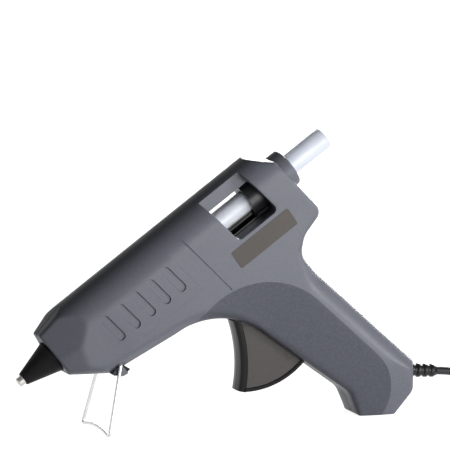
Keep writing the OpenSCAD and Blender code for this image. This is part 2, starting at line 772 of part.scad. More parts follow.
module feed_carriage() color("#202022") in_gun() difference() {
  union() {
    tube(ring_u, ring_u + ring_len, ring_d);
    both_sides()
      translate([pin_u - bar_nose, bar_y, pin_v - bar_h / 2])
        cube([ring_u + ring_len - 2 - pin_u + bar_nose, bar_t, bar_h]);
    translate([ring_u, -bar_y - bar_t, pin_v - bar_h / 2])
      cube([ring_len - 2, 2 * (bar_y + bar_t), ring_low - pin_v + bar_h / 2]);
  }
  tube(ring_u - 1, ring_u + ring_len + 1, stick_d + 2 * clear);
  rod([pin_u, pin_v], -30, 30, cross_pin_d);
  rod(jaw_pin_uv, -30, 30, jaw_pin_d);
  translate([ring_u - 1, -jaw_slot, -30]) cube([ring_len + 2, 2 * jaw_slot, 30]);
}

module carriage_pin() color("silver") in_gun() rod([pin_u, pin_v], -bar_y - bar_t, bar_y + bar_t, cross_pin_d);

module jaw_pin() color("silver") in_gun() rod(jaw_pin_uv, -bar_y - bar_t, bar_y + bar_t, jaw_pin_d);

// Toothed lever that bites into the stick from below
module grip_jaw() color("slategray") in_gun() across(-jaw_t / 2, jaw_t / 2)
  translate(jaw_pin_uv) difference() {
    union() {
      circle(r = 2.5);
      polygon([[-2.4, 0], [2, -1.6], [6.5, 2], [6.5, 3.5], [4, -pin_v - stick_d / 2 - jaw_gap],
        [3, -pin_v - stick_d / 2 - jaw_gap - 1], [1.8, -pin_v - stick_d / 2 - jaw_gap - 0.2]]);
    }
    circle(d = jaw_pin_d + 2 * running);
  }

// Trigger

finger_mid = let (mid = (trigger_front + trigger_foot) / 2, n = inward(trigger_foot, trigger_front))
  mid - n * (finger_r - front_dip);

module trigger_profile() difference() {
  intersection() {
    circle(r = trigger_r, $fn = 96);
    polygon([[0, 0.38 * hub_d], [trigger_front.x - 1, 0], trigger_front - [1, 0], 1.2 * trigger_foot - [1, 0],
      1.6 * trigger_r * [cos(trigger_rear - 11), sin(trigger_rear - 11)],
      1.6 * trigger_r * [cos(trigger_rear), sin(trigger_rear)], [0.46 * hub_d, 0]]);
  }
  translate(finger_mid) circle(r = finger_r, $fn = 96);
}

module trigger() color("#2a2928") translate([pivot.x, 0, pivot.y]) difference() {
  union() {
    across(-trigger_w / 2, trigger_w / 2) union() { trigger_profile(); circle(d = hub_d); }
    across(-arm_t / 2, arm_t / 2)
      rotate(arm_angle - 90) translate([-arm_w / 2, 0]) square([arm_w, arm_len]);
  }
  // Hollow sides inside a raised rim
  both_sides() across(trigger_w / 2 - hollow_depth, trigger_w) difference() {
    intersection() { trigger_profile(); circle(r = trigger_r - foot_rim, $fn = 96); }
    translate(finger_mid) circle(r = finger_r + front_rim, $fn = 96);
    circle(d = hub_d + 4);
  }
  rod([0, 0], -30, 30, pivot_d + 2 * running);
  across(-30, 30) rotate(arm_angle - 90) translate([-slot_gap / 2, slot_floor]) square([slot_gap, 20]);
}

module trigger_pin() color("silver") rod(pivot, -pivot_end, pivot_end, pivot_d);

// Spring that pulls the trigger's arm back, between the arm and a post
spring_from = pivot + spring_arm * [cos(arm_angle), sin(arm_angle)]
  + (arm_w / 2) * [sin(arm_angle), -cos(arm_angle)];
spring_dir = unit(spring_post - spring_from);
spring_len = norm(spring_post - spring_from);
hook_len = 5;
module at_spring() translate([spring_from.x, 0, spring_from.y])
  rotate([0, 90 - atan2(spring_dir.y, spring_dir.x), 0]) children();
module return_spring() color("silver") at_spring() {
  difference() {
    translate([0, 0, hook_len]) cylinder(h = spring_len - 2 * hook_len, d = spring_d);
    translate([0, 0, hook_len + 1]) cylinder(h = spring_len - 2 * hook_len - 2, d = spring_d - 2 * spring_wire);
  }
  translate([0, 0, running]) cylinder(h = hook_len, d = spring_wire);
  translate([0, 0, spring_len - hook_len - 0.5]) cylinder(h = hook_len + 0.5, d = spring_wire);
}

// Stand

function bar_point(i) = let (k = 2 * i / bar_steps - 1, lift = bar_rise * (1 - k * k))
  [foot.x + lift * tan(stand_lean), k * stand_half_w, foot.y + lift];
function mirrored(ps) = [for (i = [len(ps) - 1:-1:0]) [ps[i].x, -ps[i].y, ps[i].z]];

// One bent wire: pin, bend, leg and foot, then the raised bar, and the same on the other side
leg_top = [stand.x, leg_y, stand.y];
leg_foot = [foot.x, stand_half_w, foot.y];
leg_dir = unit(leg_foot - leg_top);
bend = 1.2 * wire_d;
half_wire = concat(
  [[stand.x, lug_in + 0.5, stand.y], leg_top - [0, bend, 0]],
  [for (t = [0.25, 0.5, 0.75]) leg_top - (1 - t) * (1 - t) * [0, bend, 0] + t * t * bend * leg_dir],
  [leg_top + bend * leg_dir, leg_foot - bend * leg_dir]);
foot_bend = [for (t = [0.25, 0.5, 0.75])
  leg_foot - (1 - t) * (1 - t) * bend * leg_dir + t * t * (bar_point(bar_steps - 1) - leg_foot)];
wire_route = concat(
  half_wire,
  foot_bend,
  [for (i = [bar_steps - 1:-1:1]) bar_point(i)],
  mirrored(foot_bend),
  mirrored(half_wire));
module wire_stand() color("silver") swept(wire_route, wire_d, 12);

// Cord and what holds it

boot_taper = 0.1;
module strain_relief() color("#161617") at_entry() {
  step = (boot_len - 1) / boot_ribs;
  rib_w = 0.66 * step;
  difference() {
    union() {
      translate([0, 0, -boot_in]) cylinder(h = boot_in + boot_len, d = boot_neck_d);
      translate([0, 0, -boot_in + 1.6 + snug]) cylinder(h = 2.4, d = boot_flange_d);
      for (i = [0:boot_ribs - 1]) {
        r = boot_d / 2 - boot_taper * i;
        translate([0, 0, 1 + i * step])
          rotate_extrude()
            polygon([[1, 0], [r - 0.5, 0], [r, 0.5], [r, rib_w - 0.5], [r - 0.5, rib_w], [1, rib_w]]);
      }
    }
    translate([0, 0, -boot_in - 1]) cylinder(h = boot_in + boot_len + 2, d = boot_bore);
  }
}

module cord_tail() color("#2c2c2e") at_entry()
  translate([0, 0, -tail_len]) cylinder(h = tail_len + boot_len - snug, d = cord_d);

module cord_clamp() color("#303032") difference() {
  translate([clamp_at.x - clamp_w / 2, clamp_y, clamp_at.y - clamp_half])
    cube([clamp_w, clamp_t, 2 * clamp_half]);
  for (s = [-1, 1]) rod(clamp_at + [0, s * clamp_reach], 0, 20, clamp_screw_d + 2 * snug);
}

module clamp_screws() color("silver") for (s = [-1, 1]) {
  rod(clamp_at + [0, s * clamp_reach], -8, clamp_y + clamp_t + 0.1, clamp_screw_d);
  rod(clamp_at + [0, s * clamp_reach], clamp_y + clamp_t, clamp_y + clamp_t + 1.6, clamp_head_d);
}

module live_lead() color("saddlebrown") swept(lead_route, lead_d, 8);

module neutral_lead() color("royalblue") mirror([0, 1, 0]) swept(lead_route, lead_d, 8);

// Crimps between the leads and the electrode tails
lead_tip = lead_route[len(lead_route) - 1];
module wire_crimps() color("gold") both_sides()
  translate(lead_tip) rotate([0, -90 - pitch, 0]) translate([0, 0, snug]) cylinder(h = crimp_len, d = crimp_d);

module power_cord() color("#2c2c2e") swept(cord_route, cord_d, 10);

module cord_coil() color("#2c2c2e") swept(coil_route, cord_d, 6);

// The tie holds the turns half a turn from where they climb
tie_slack = clear + tie_w * tie_w / (4 * coil_in);
tie_in = coil_r(1.5) - cord_d / 2 - tie_slack;
tie_out = coil_r(0.5) + cord_d / 2 + tie_slack;
tie_low = coil_z - cord_d / 2 - clear;
tie_h = coil_top - coil_z + cord_d + 2 * clear;
module coil_tie() color("#111111")
  translate([coil_mid.x, coil_mid.y, tie_low])
    rotate([0, 0, coil_start + 180])
      difference() {
        translate([tie_in - tie_t, -tie_w / 2, -tie_t])
          cube([tie_out - tie_in + 2 * tie_t, tie_w, tie_h + 2 * tie_t]);
        translate([tie_in, -tie_w, 0]) cube([tie_out - tie_in, 2 * tie_w, tie_h]);
      }

// Plug, lying flat on the coil
plug_neck = 12;
plug_neck_d = cord_d + 3;
plug_face = plug_neck + plug_len;
module at_plug() translate(plug_at) rotate([0, 0, tail_turn]) children();
module plug_body() color("#1b1b1c") at_plug() {
  translate([snug, 0, 0])
    rotate([0, 90, 0])
      cylinder(h = plug_neck + 2, d1 = plug_neck_d - 1.6, d2 = plug_neck_d);
  translate([0, 0, -plug_h / 2])
    linear_extrude(plug_h)
      polygon(rounded([
        [plug_neck, 6, 3], [plug_face - 14, plug_w / 2, 8], [plug_face, plug_w / 2, 2],
        [plug_face, -plug_w / 2, 2], [plug_face - 14, -plug_w / 2, 8], [plug_neck, -6, 3]]));
}

module plug_pins() color("gainsboro") at_plug() for (s = [-1, 1])
  translate([plug_face, s * pin_gap / 2, 0]) rotate([0, 90, 0]) {
    cylinder(h = pin_len - 1, d = pin_d);
    translate([0, 0, pin_len - 1]) cylinder(h = 1, d1 = pin_d, d2 = pin_d - 1.6);
  }

left_shell();
right_shell();
shell_screws();
rating_plate();
nozzle();
nozzle_sleeve();
front_bush();
melt_chamber();
ptc_heater();
electrode_plates();
heater_wedge();
inlet_sleeve();
sleeve_clamp();
glue_stick();
feed_carriage();
carriage_pin();
grip_jaw();
jaw_pin();
trigger();
trigger_pin();
return_spring();
wire_stand();
strain_relief();
cord_tail();
cord_clamp();
clamp_screws();
live_lead();
neutral_lead();
wire_crimps();
power_cord();
cord_coil();
coil_tie();
plug_body();
plug_pins();
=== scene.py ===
"""Looks of the hot glue applicator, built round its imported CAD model. Shapes are in millimetres until they
become meshes. In the barrel, u runs back from the outlet along the stick and v is square to it, upwards."""

import math

import bmesh
import bpy
import numpy as np
from mathutils import Matrix, Vector
from mathutils.geometry import delaunay_2d_cdt


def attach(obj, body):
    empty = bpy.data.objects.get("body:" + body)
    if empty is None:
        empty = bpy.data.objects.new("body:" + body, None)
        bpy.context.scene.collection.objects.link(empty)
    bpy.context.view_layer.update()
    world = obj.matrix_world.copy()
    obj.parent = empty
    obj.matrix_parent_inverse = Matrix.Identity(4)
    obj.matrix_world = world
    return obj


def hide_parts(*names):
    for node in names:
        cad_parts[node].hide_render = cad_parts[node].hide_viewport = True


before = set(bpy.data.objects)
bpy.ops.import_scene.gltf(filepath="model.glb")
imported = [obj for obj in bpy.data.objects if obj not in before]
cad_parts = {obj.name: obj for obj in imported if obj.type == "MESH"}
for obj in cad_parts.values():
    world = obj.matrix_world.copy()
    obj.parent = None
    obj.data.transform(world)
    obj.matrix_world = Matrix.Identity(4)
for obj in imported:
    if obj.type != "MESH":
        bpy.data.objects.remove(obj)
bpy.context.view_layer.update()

MM = 0.001
FULL_TURN = 2 * math.pi
PITCH = math.radians(35)
COS_P, SIN_P = math.cos(PITCH), math.sin(PITCH)
TIP = np.array([-105.43, 27.9])
HALF_W = 15.5
NO_LIMIT = 99.0


def gun(u, v):
    """Point of the side view, x and z, for barrel coordinates."""
    return TIP + np.array([u * COS_P - v * SIN_P, u * SIN_P + v * COS_P])


def to_gun(points):
    """Barrel coordinates of side view points."""
    rel = np.asarray(points, float) - TIP
    return np.stack([rel[..., 0] * COS_P + rel[..., 1] * SIN_P,
                     -rel[..., 0] * SIN_P + rel[..., 1] * COS_P], -1)


def unit(vector):
    vector = np.asarray(vector, float)
    return vector / np.linalg.norm(vector)


def lengths(vectors):
    return np.linalg.norm(vectors, axis=1)


# Camera and light

VIEW_AZIMUTH = math.radians(-21)
VIEW_ELEVATION = math.radians(10)
VIEW_DISTANCE = 4.0
VIEW_TARGET = Vector((0.0054, 0, 0.1013))
VIEW_WIDTH = 0.2267
SENSOR_WIDTH, CLIP_END = 36, 30
AMBIENT, CEILING, CEILING_FROM, CEILING_TO = 0.03, 0.25, 0.1, 0.7
FLOOR_HALF, FLOOR_DROP, FLOOR_TONE, FLOOR_GLOW = 4.0, 0.0002, 0.5, 0.93
# Place, watts, width and height of each lamp
LAMPS = {"softbox": ((0.125, -0.41, 0.10), 1.15, 0.28, 0.19),
         "key": ((1.80, -1.50, 0.50), 32, 0.7, 0.7),
         "rim": ((0.9, 1.3, 0.45), 28, 0.8, 0.8)}


def add_object(name, data):
    made = bpy.data.objects.new(name, data)
    bpy.context.scene.collection.objects.link(made)
    return made


def make_camera():
    data = bpy.data.cameras.new("camera")
    data.sensor_width = SENSOR_WIDTH
    data.lens = SENSOR_WIDTH * VIEW_DISTANCE / VIEW_WIDTH
    data.clip_end = CLIP_END
    camera = add_object("camera", data)
    back = Vector((math.sin(VIEW_AZIMUTH) * math.cos(VIEW_ELEVATION),
                   -math.cos(VIEW_AZIMUTH) * math.cos(VIEW_ELEVATION), math.sin(VIEW_ELEVATION)))
    camera.location = VIEW_TARGET + VIEW_DISTANCE * back
    camera.rotation_euler = (-back).to_track_quat("-Z", "Y").to_euler()
    bpy.context.scene.camera = camera


def add_light(name, place, watts, width, height):
    data = bpy.data.lights.new(name, "AREA")
    data.energy = watts
    data.shape = "RECTANGLE"
    data.size, data.size_y = width, height
    light = add_object(name, data)
    light.location = place
    light.visible_camera = False
    light.rotation_euler = (VIEW_TARGET - Vector(place)).to_track_quat("-Z", "Y").to_euler()


def new_node(tree, kind, values=None, links=None):
    """A shader node with values and links for its inputs."""
    node = tree.nodes.new("ShaderNode" + kind)
    for key, value in (values or {}).items():
        node.inputs[key].default_value = value
    for key, output in (links or {}).items():
        tree.links.new(output, node.inputs[key])
    return node


def math_node(tree, operation, first, second):
    node = new_node(tree, "Math", links={0: first, 1: second})
    node.operation = operation
    return node.outputs[0]


def range_node(tree, value, low, high, from_low=0.0, from_high=1.0):
    values = {"From Min": from_low, "From Max": from_high, "To Min": low, "To Max": high}
    return new_node(tree, "MapRange", values, {"Value": value}).outputs["Result"]


def make_world():
    """White where the camera and glass see it, white below a darker ceiling in gloss, and dim as a light."""
    world = bpy.data.worlds.new("studio")
    bpy.context.scene.world = world
    world.use_nodes = True
    tree = world.node_tree
    back = tree.nodes["Background"]
    back.inputs["Color"].default_value = (1, 1, 1, 1)
    rays = new_node(tree, "LightPath").outputs
    seen = math_node(tree, "MAXIMUM", rays["Is Camera Ray"], rays["Is Transmission Ray"])
    towards = new_node(tree, "TexCoord").outputs["Generated"]
    upward = new_node(tree, "SeparateXYZ", links={0: towards}).outputs["Z"]
    room = range_node(tree, upward, 1, CEILING, CEILING_FROM, CEILING_TO)
    gloss = math_node(tree, "MULTIPLY", room, rays["Is Glossy Ray"])
    strength = range_node(tree, math_node(tree, "MAXIMUM", seen, gloss), AMBIENT, 1)
    tree.links.new(strength, back.inputs["Strength"])


def make_floor():
    """A pale floor that looks white to the camera, in glass and in gloss, and still takes a soft shadow."""
    mesh = bpy.data.meshes.new("floor")
    corners = [(x * FLOOR_HALF, y * FLOOR_HALF, 0) for x, y in ((-1, -1), (1, -1), (1, 1), (-1, 1))]
    mesh.from_pydata(corners, [], [(0, 1, 2, 3)])
    floor = add_object("floor", mesh)
    floor.location.z = -FLOOR_DROP
    material = bpy.data.materials.new("floor")
    material.use_nodes = True
    tree = material.node_tree
    tree.nodes.clear()
    diffuse = new_node(tree, "BsdfDiffuse", {"Color": (FLOOR_TONE, FLOOR_TONE, FLOOR_TONE, 1)})
    rays = new_node(tree, "LightPath").outputs
    seen = math_node(tree, "MAXIMUM", rays["Is Camera Ray"], rays["Is Transmission Ray"])
    seen = math_node(tree, "MAXIMUM", seen, rays["Is Glossy Ray"])
    glow = new_node(tree, "Emission", links={"Strength": range_node(tree, seen, 0, FLOOR_GLOW)})
    both = new_node(tree, "AddShader", links={0: diffuse.outputs[0], 1: glow.outputs[0]})
    new_node(tree, "OutputMaterial", links={"Surface": both.outputs[0]})
    mesh.materials.append(material)


bpy.context.scene.view_settings.view_transform = "Standard"
make_camera()
make_world()
make_floor()
for lamp, values in LAMPS.items():
    add_light(lamp, *values)


# Materials

def srgb(red, green, blue):
    """Linear colour of an sRGB colour written from 0 to 255."""
    def line(c):
        c /= 255
        return c / 12.92 if c <= 0.04045 else ((c + 0.055) / 1.055) ** 2.4
    return line(red), line(green), line(blue), 1.0


def shade(colour, factor):
    return tuple(min(1.0, c * factor) for c in colour[:3]) + (1.0,)


class Look:
    """A node material built round one Principled shader, textured in the object's own metres."""

    def __init__(self, name):
        self.material = bpy.data.materials.new(name)
        self.material.use_nodes = True
        self.tree = self.material.node_tree
        self.shader = self.tree.nodes["Principled BSDF"]
        self.place = new_node(self.tree, "TexCoord").outputs["Object"]

    def set(self, **values):
        for key, value in values.items():
            self.shader.inputs[key.replace("_", " ")].default_value = value
        return self

    def feed(self, name, output):
        self.tree.links.new(output, self.shader.inputs[name])
        return self

    def stretched(self, scale):
        return new_node(self.tree, "Mapping", {"Scale": scale}, {"Vector": self.place}).outputs["Vector"]

    def noise(self, scale, detail=2.0, place=None):
        values, links = {"Scale": scale, "Detail": detail}, {"Vector": place or self.place}
        return new_node(self.tree, "TexNoise", values, links).outputs["Fac"]

    def ranged(self, value, low, high):
        """Spreads out the middle of a noise, where most of it lies."""
        return range_node(self.tree, value, low, high, 0.3, 0.7)

    def mix(self, factor, first, second):
        node = new_node(self.tree, "Mix")
        node.data_type = "RGBA"
        self.tree.links.new(factor, node.inputs["Factor"])
        for value, socket in zip((first, second), [s for s in node.inputs if s.type == "RGBA"]):
            if isinstance(value, tuple):
                socket.default_value = value
            else:
                self.tree.links.new(value, socket)
        return [s for s in node.outputs if s.type == "RGBA"][0]

    def bump(self, height, depth):
        node = new_node(self.tree, "Bump", {"Distance": depth, "Strength": 1.0}, {"Height": height})
        return self.feed("Normal", node.outputs["Normal"])

    def attribute(self, name):
        node = new_node(self.tree, "Attribute")
        node.attribute_name = name
        return node.outputs["Fac"]


# Scale of the clouds of tone, tarnish and dust, and the grip's grain against the housing's
TONE_SCALE, TARNISH_SCALE, DUST_SCALE, GRIP_GRAIN = 60, 90, 140, 0.55


def moulded(name, colour, grain=1500, depth=0.00004, rough=(0.5, 0.62), spread=0.10, level=0.3,
            recess_shade=None, grip=None):
    """Moulded plastic: a spark-eroded grain, small changes of tone and of gloss, a coarser grain with
    painted shade that darkens the colour where the hand holds it, and painted shade in deep recesses."""
    look = Look(name).set(Specular_IOR_Level=level)
    fine = look.noise(grain, 3.0)
    wide = look.noise(TONE_SCALE, 3.0)
    tone = look.mix(look.ranged(fine, 0, 1), shade(colour, 1 - spread), shade(colour, 1 + spread))
    worn_and_shaded = look.mix(look.ranged(wide, 0, 0.35), tone, shade(colour, 1 + 0.6 * spread))
    look.feed("Roughness", look.ranged(wide, *rough)).bump(fine, depth)
    # Painted shade: the grip face takes a darker colour, with a coarser grain on it.
    if grip:
        coarse = look.noise(GRIP_GRAIN * grain)
        shaded_pores = look.mix(look.ranged(coarse, 0, 1), shade(grip, 0.9), shade(grip, 1.1))
        worn_and_shaded = look.mix(look.attribute("grip"), worn_and_shaded, shaded_pores)
    # Painted shade: the colour goes to near black where the depth attribute marks a deep recess.
    if recess_shade:
        worn_and_shaded = look.mix(look.attribute("depth"), worn_and_shaded, recess_shade)
    return look.feed("Base Color", worn_and_shaded)


def turned_metal(name, colour, rough=(0.24, 0.4), lines=900, depth=0.000012):
    """Bare metal with fine tool marks and slight tarnish."""
    look = Look(name).set(Metallic=1.0)
    marks = look.noise(1.0, 4.0, look.stretched((lines, lines, lines)))
    cloud = look.noise(TARNISH_SCALE, 3.0)
    look.feed("Base Color", look.mix(look.ranged(cloud, 0, 1), shade(colour, 0.88), shade(colour, 1.06)))
    return look.feed("Roughness", look.ranged(marks, *rough)).bump(marks, depth)


def rubber(name, colour, rough=(0.42, 0.6), grain=900, depth=0.00002, level=0.35):
    """Soft sheath or sleeve with a fine grain and a little dust."""
    look = Look(name).set(Specular_IOR_Level=level)
    fine = look.noise(grain)
    dust = look.noise(DUST_SCALE, 4.0)
    look.feed("Base Color", look.mix(look.ranged(dust, 0, 1), shade(colour, 0.85), shade(colour, 1.2)))
    return look.feed("Roughness", look.ranged(dust, *rough)).bump(fine, depth)


def glue():
    """Milky hot melt: light passes through, with a faint blue cast and flow marks."""
    look = Look("glue").set(Transmission_Weight=0.35, IOR=1.45, Specular_IOR_Level=0.4)
    cloud = look.noise(55, 2.0, look.stretched((1, 3, 1)))
    look.feed("Base Color", look.mix(look.ranged(cloud, 0, 1), srgb(228, 234, 246), srgb(243, 245, 250)))
    look.feed("Roughness", look.ranged(look.noise(220, 3.0), 0.28, 0.42))
    return look.bump(look.noise(300), 0.00003)


# Near-black painted shade, for deep recesses and the housing's inner faces.
PAINTED_SHADE_BLACK = srgb(14, 14, 15)
# The grip's darker colour is painted shade on its sloped face.
housing_look = moulded("housing_plastic", srgb(104, 106, 115), rough=(0.36, 0.44), level=0.22,
                       recess_shade=PAINTED_SHADE_BLACK, grip=srgb(83, 85, 94))
# The housing's inner faces are near black: painted shade.
inside_look = moulded("housing_inside", PAINTED_SHADE_BLACK, rough=(0.6, 0.75))
black_look = moulded("black_moulding", srgb(30, 30, 32), rough=(0.3, 0.42), grain=1100, depth=0.00001)
gloss_look = moulded("gloss_black", srgb(22, 22, 23), grain=700, depth=0.000002, rough=(0.08, 0.16),
                     level=0.2)
trigger_look = moulded("trigger_sides", srgb(62, 59, 57), grain=1300, depth=0.00002, rough=(0.42, 0.52))
plate_look = moulded("plate_film", srgb(78, 73, 69), grain=2200, depth=0.000008, rough=(0.38, 0.5),
                     spread=0.05, level=0.2)
brown_look = moulded("brown_moulding", srgb(60, 46, 38))
ceramic_look = moulded("ceramic", srgb(200, 196, 184), grain=1800, rough=(0.6, 0.8))
red_look = rubber("red_silicone", srgb(170, 62, 46))
nozzle_rubber_look = rubber("nozzle_rubber", srgb(24, 24, 26), level=0.12)
boot_look = rubber("boot_rubber", srgb(24, 24, 25), rough=(0.3, 0.45))
cord_look = rubber("cord_sheath", srgb(46, 46, 49), rough=(0.34, 0.5))
plug_look = moulded("plug_moulding", srgb(30, 30, 31), rough=(0.35, 0.5))
steel_look = turned_metal("zinc_steel", srgb(190, 190, 192))
bright_look = turned_metal("cast_metal", srgb(205, 203, 198))
wire_look = turned_metal("bright_wire", srgb(215, 215, 216), rough=(0.12, 0.25))
brass_look = turned_metal("brass", srgb(205, 170, 90))
pin_look = turned_metal("nickel", srgb(210, 207, 198), rough=(0.15, 0.28))
brown_lead_look = rubber("brown_insulation", srgb(96, 54, 26))
blue_lead_look = rubber("blue_insulation", srgb(40, 80, 160))
stick_look = glue()


# Mesh helpers

def place_piece(name, data, body, nodes):
    """Puts a piece in the scene, on a body and in place of the given CAD nodes."""
    piece = add_object(name, data)
    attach(piece, body)
    if nodes:
        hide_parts(*nodes)
    return piece


def finish_mesh(name, bm, looks, body, nodes=(), angle=32):
    """Turns a bmesh in millimetres into a piece."""
    bm.transform(Matrix.Scale(MM, 4))
    mesh = bpy.data.meshes.new(name)
    bm.to_mesh(mesh)
    bm.free()
    for look in looks:
        mesh.materials.append(look.material)
    mesh.shade_smooth()
    mesh.set_sharp_from_angle(angle=math.radians(angle))
    return place_piece(name, mesh, body, nodes)


def side_row(bm, line, y):
    """Vertices over a line of the side view."""
    return [bm.verts.new((p[0], y, p[1])) for p in line]


def bridge(bm, rows, caps=True):
    """Quads between closed rows of vertices, with a face over the first and the last row."""
    made = [bm.faces.new(rows[0]), bm.faces.new(rows[-1])] if caps else []
    for lower, upper in zip(rows, rows[1:]):
        for i in range(len(lower)):
            k = (i + 1) % len(lower)
            made.append(bm.faces.new((lower[i], lower[k], upper[k], upper[i])))
    return made


def raised(line, y):
    """Points over a line of the side view."""
    return np.stack([line[:, 0], np.broadcast_to(y, len(line)), line[:, 1]], 1)


def curved(start, corner, end, steps):
    """Points of a curve that rounds a corner."""
    return [(1 - t) ** 2 * start + 2 * t * (1 - t) * corner + t ** 2 * end
            for t in np.linspace(0, 1, steps + 1)]


def face_out(bm):
    bmesh.ops.recalc_face_normals(bm, faces=bm.faces)


def arc_points(mid, radius, start, end, steps):
    angles = np.linspace(start, end, steps + 1)
    return np.stack([mid[0] + radius * np.cos(angles), mid[1] + radius * np.sin(angles)], 1)


def circle(mid, radius, steps=28):
    return arc_points(mid, radius, 0, FULL_TURN, steps)[:-1]


def fillet(before, corner, after, radius, step):
    """Arc that rounds a corner, no coarser than the step."""
    first, last = unit(before - corner), unit(after - corner)
    half = math.acos(np.clip(first @ last, -1, 1)) / 2
    mid = corner + unit(first + last) * radius / math.sin(half)
    start = corner + first * radius / math.tan(half) - mid
    end = corner + last * radius / math.tan(half) - mid
    a = math.atan2(start[1], start[0])
    sweep = (math.atan2(end[1], end[0]) - a + math.pi) % FULL_TURN - math.pi
    steps = max(3, math.ceil(abs(sweep) / math.radians(7)), math.ceil(radius * abs(sweep) / step))
    return arc_points(mid, radius, a, a + sweep, steps)


def rounded(corners, step):
    """Closed line round x, z, radius corners, with the corner or side number of each point."""
    corners = np.asarray(corners, float)
    count = len(corners)
    arcs = [fillet(corners[i - 1, :2], corners[i, :2], corners[(i + 1) % count, :2], corners[i, 2], step)
            for i in range(count)]
    points, sides = [], []
    for i, arc in enumerate(arcs):
        points += list(arc)
        sides += [float(i)] * len(arc)
        begin, end = arc[-1], arcs[(i + 1) % count][0]
        pieces = max(1, math.ceil(np.linalg.norm(end - begin) / step))
        for k in range(1, pieces):
            points.append(begin + (end - begin) * k / pieces)
            sides.append(i + 0.5)
    return np.array(points), np.array(sides)


def normals_in(points):
    """Inward normals of a closed clockwise line."""
    ahead = np.roll(points, -1, 0) - np.roll(points, 1, 0)
    ahead /= lengths(ahead)[:, None]
    return np.stack([ahead[:, 1], -ahead[:, 0]], 1)


def nearest(points, line):
    """Distance of points from a closed line, and the number of the nearest side."""
    start, along = line, np.roll(line, -1, 0) - line
    length = (along ** 2).sum(1)
    far = np.full(len(points), np.inf)
    which = np.zeros(len(points), int)
    for i in range(len(line)):
        t = np.clip(((points - start[i]) @ along[i]) / length[i], 0, 1)
        d = lengths(points - start[i] - t[:, None] * along[i])
        closer = d < far
        far[closer] = d[closer]
        which[closer] = i
    return far, which


def inside(points, line):
    """Which points lie within a closed line."""
    x, z = points[:, 0], points[:, 1]
    odd = np.zeros(len(points), bool)
    for (x0, z0), (x1, z1) in zip(line, np.roll(line, -1, 0)):
        if z0 == z1:
            continue
        odd ^= ((z0 > z) != (z1 > z)) & (x < (x1 - x0) * (z - z0) / (z1 - z0) + x0)
    return odd


def smooth_min(a, b, k):
    """The lower of two heights, blended where they differ by less than k."""
    return np.minimum(a, b) - np.maximum(k - np.abs(a - b), 0) ** 2 / (4 * k)


def smooth_step(t):
    t = np.clip(t, 0, 1)
    return t * t * (3 - 2 * t)


def triangulate(points, edges):
    """Triangles over all points that keep the given edges, with the new points and each one's source."""
    result = delaunay_2d_cdt([Vector(p) for p in points], [tuple(e) for e in edges], [], 0, 1e-6)
    return np.array([tuple(p) for p in result[0]]), result[2], result[3]


def loop_edges(first, count, closed=True):
    last = count if closed else count - 1
    return [(first + i, first + (i + 1) % count) for i in range(last)]


# Housing halves

STEP = 1.3
BARREL_TOP, SHOULDER_R = 18.8, 15.0
FRONT_U, REAR_U = 21.5, 169.6
BACK_START = np.array([37.75, 89.22])
BUTT_TOP, BUTT_LOW = np.array([104.8, 27.6]), np.array([104.8, 13.8])
ARCH_CORNER, ARCH_R = np.array([1.5, 62.4]), 42.0
LOWER_FRONT = np.array([-60.0, 31.1])
HANDLE_FRONT = np.array([69.2, 12.6])
OUTLINE_CORNERS = [
    (*gun(FRONT_U, 14.2), 1), (*gun(39.5, BARREL_TOP), 12), (*gun(159.4, BARREL_TOP), 2.5),
    (*gun(REAR_U, 10.7), 1.5), (*gun(175, -25), 5), (*BACK_START, 12.2), (*BUTT_TOP, 7), (*BUTT_LOW, 6),
    (BUTT_LOW[0] - 11.4, 0, 1), (74.5, 0, 1.5), (*HANDLE_FRONT, 10), (*ARCH_CORNER, ARCH_R),
    (*LOWER_FRONT, 4), (*gun(FRONT_U + 0.3, -10.4), 2)]
# Edge rounding at each corner and side of the outline, in its order
EDGE_R = [0.9, 1.2, 0.3, 0.1, 0.3, 1.2, 1.4, 1.4, 1.8, 1.8, 1.8, 0.3, 0.3, 0.3, 0.6, 1.2, 1.0, 0.8, 1.4, 2.6,
          3.0, 3.0, 2.0, 1.0, 1.2, 1.8, 1.2, 0.8]
FRONT_SIDE, REAR_SIDE = 13.5, 3.5
LOWER_DIR = unit(ARCH_CORNER - LOWER_FRONT)
HANDLE_DIR = unit(HANDLE_FRONT - ARCH_CORNER)
ARCH_HALF = math.acos(-(LOWER_DIR @ HANDLE_DIR)) / 2
ARCH_MID = ARCH_CORNER + unit(HANDLE_DIR - LOWER_DIR) * ARCH_R / math.sin(ARCH_HALF)
ARCH_START = np.linalg.norm(ARCH_CORNER - LOWER_FRONT) - ARCH_R / math.tan(ARCH_HALF)
LOWER_EDGE = 5.5
GRIP_MID, GRIP_R = np.array([21.2, 30.4]), 43.3
GRIP_ANGLE = math.radians(-42.9)
GRIP_ALONG = np.array([math.cos(GRIP_ANGLE), math.sin(GRIP_ANGLE)])
GRIP_UP = np.array([-math.sin(GRIP_ANGLE), math.cos(GRIP_ANGLE)])
GRIP_RISE, GRIP_DEEPEST = math.tan(math.radians(9.5)), 7
BUTT_MID, BUTT_R, BUTT_FALL = np.array([65.2, 14.2]), 25.2, 0.10
BUTT_ALONG = float((BUTT_MID - GRIP_MID) @ GRIP_ALONG)
PIVOT = np.array([15.18946, 58.40042])
SLANT = math.radians(10)
TRIGGER_GAP, TRIGGER_ROOM, SWING_FRONT, SWING_TOP = 6.4, 43.2, -8.2, -1
PARTING_LIP, PARTING_IN, PARTING_Y = 0.3, 0.25, 0.02
# Side panel: rear edge, top, lower edge, front, how proud it stands, and where it fades out
PANEL_U, PANEL_TOP, PANEL_LOW, PANEL_FRONT, PANEL_RISE = 96.8, 10, -17.1, 47, 0.32
PANEL_LEAN = 4.5 / 27.2
FADE_U, FADE_U_LEN, FADE_V, FADE_V_LEN = 44, 16, 11, 8
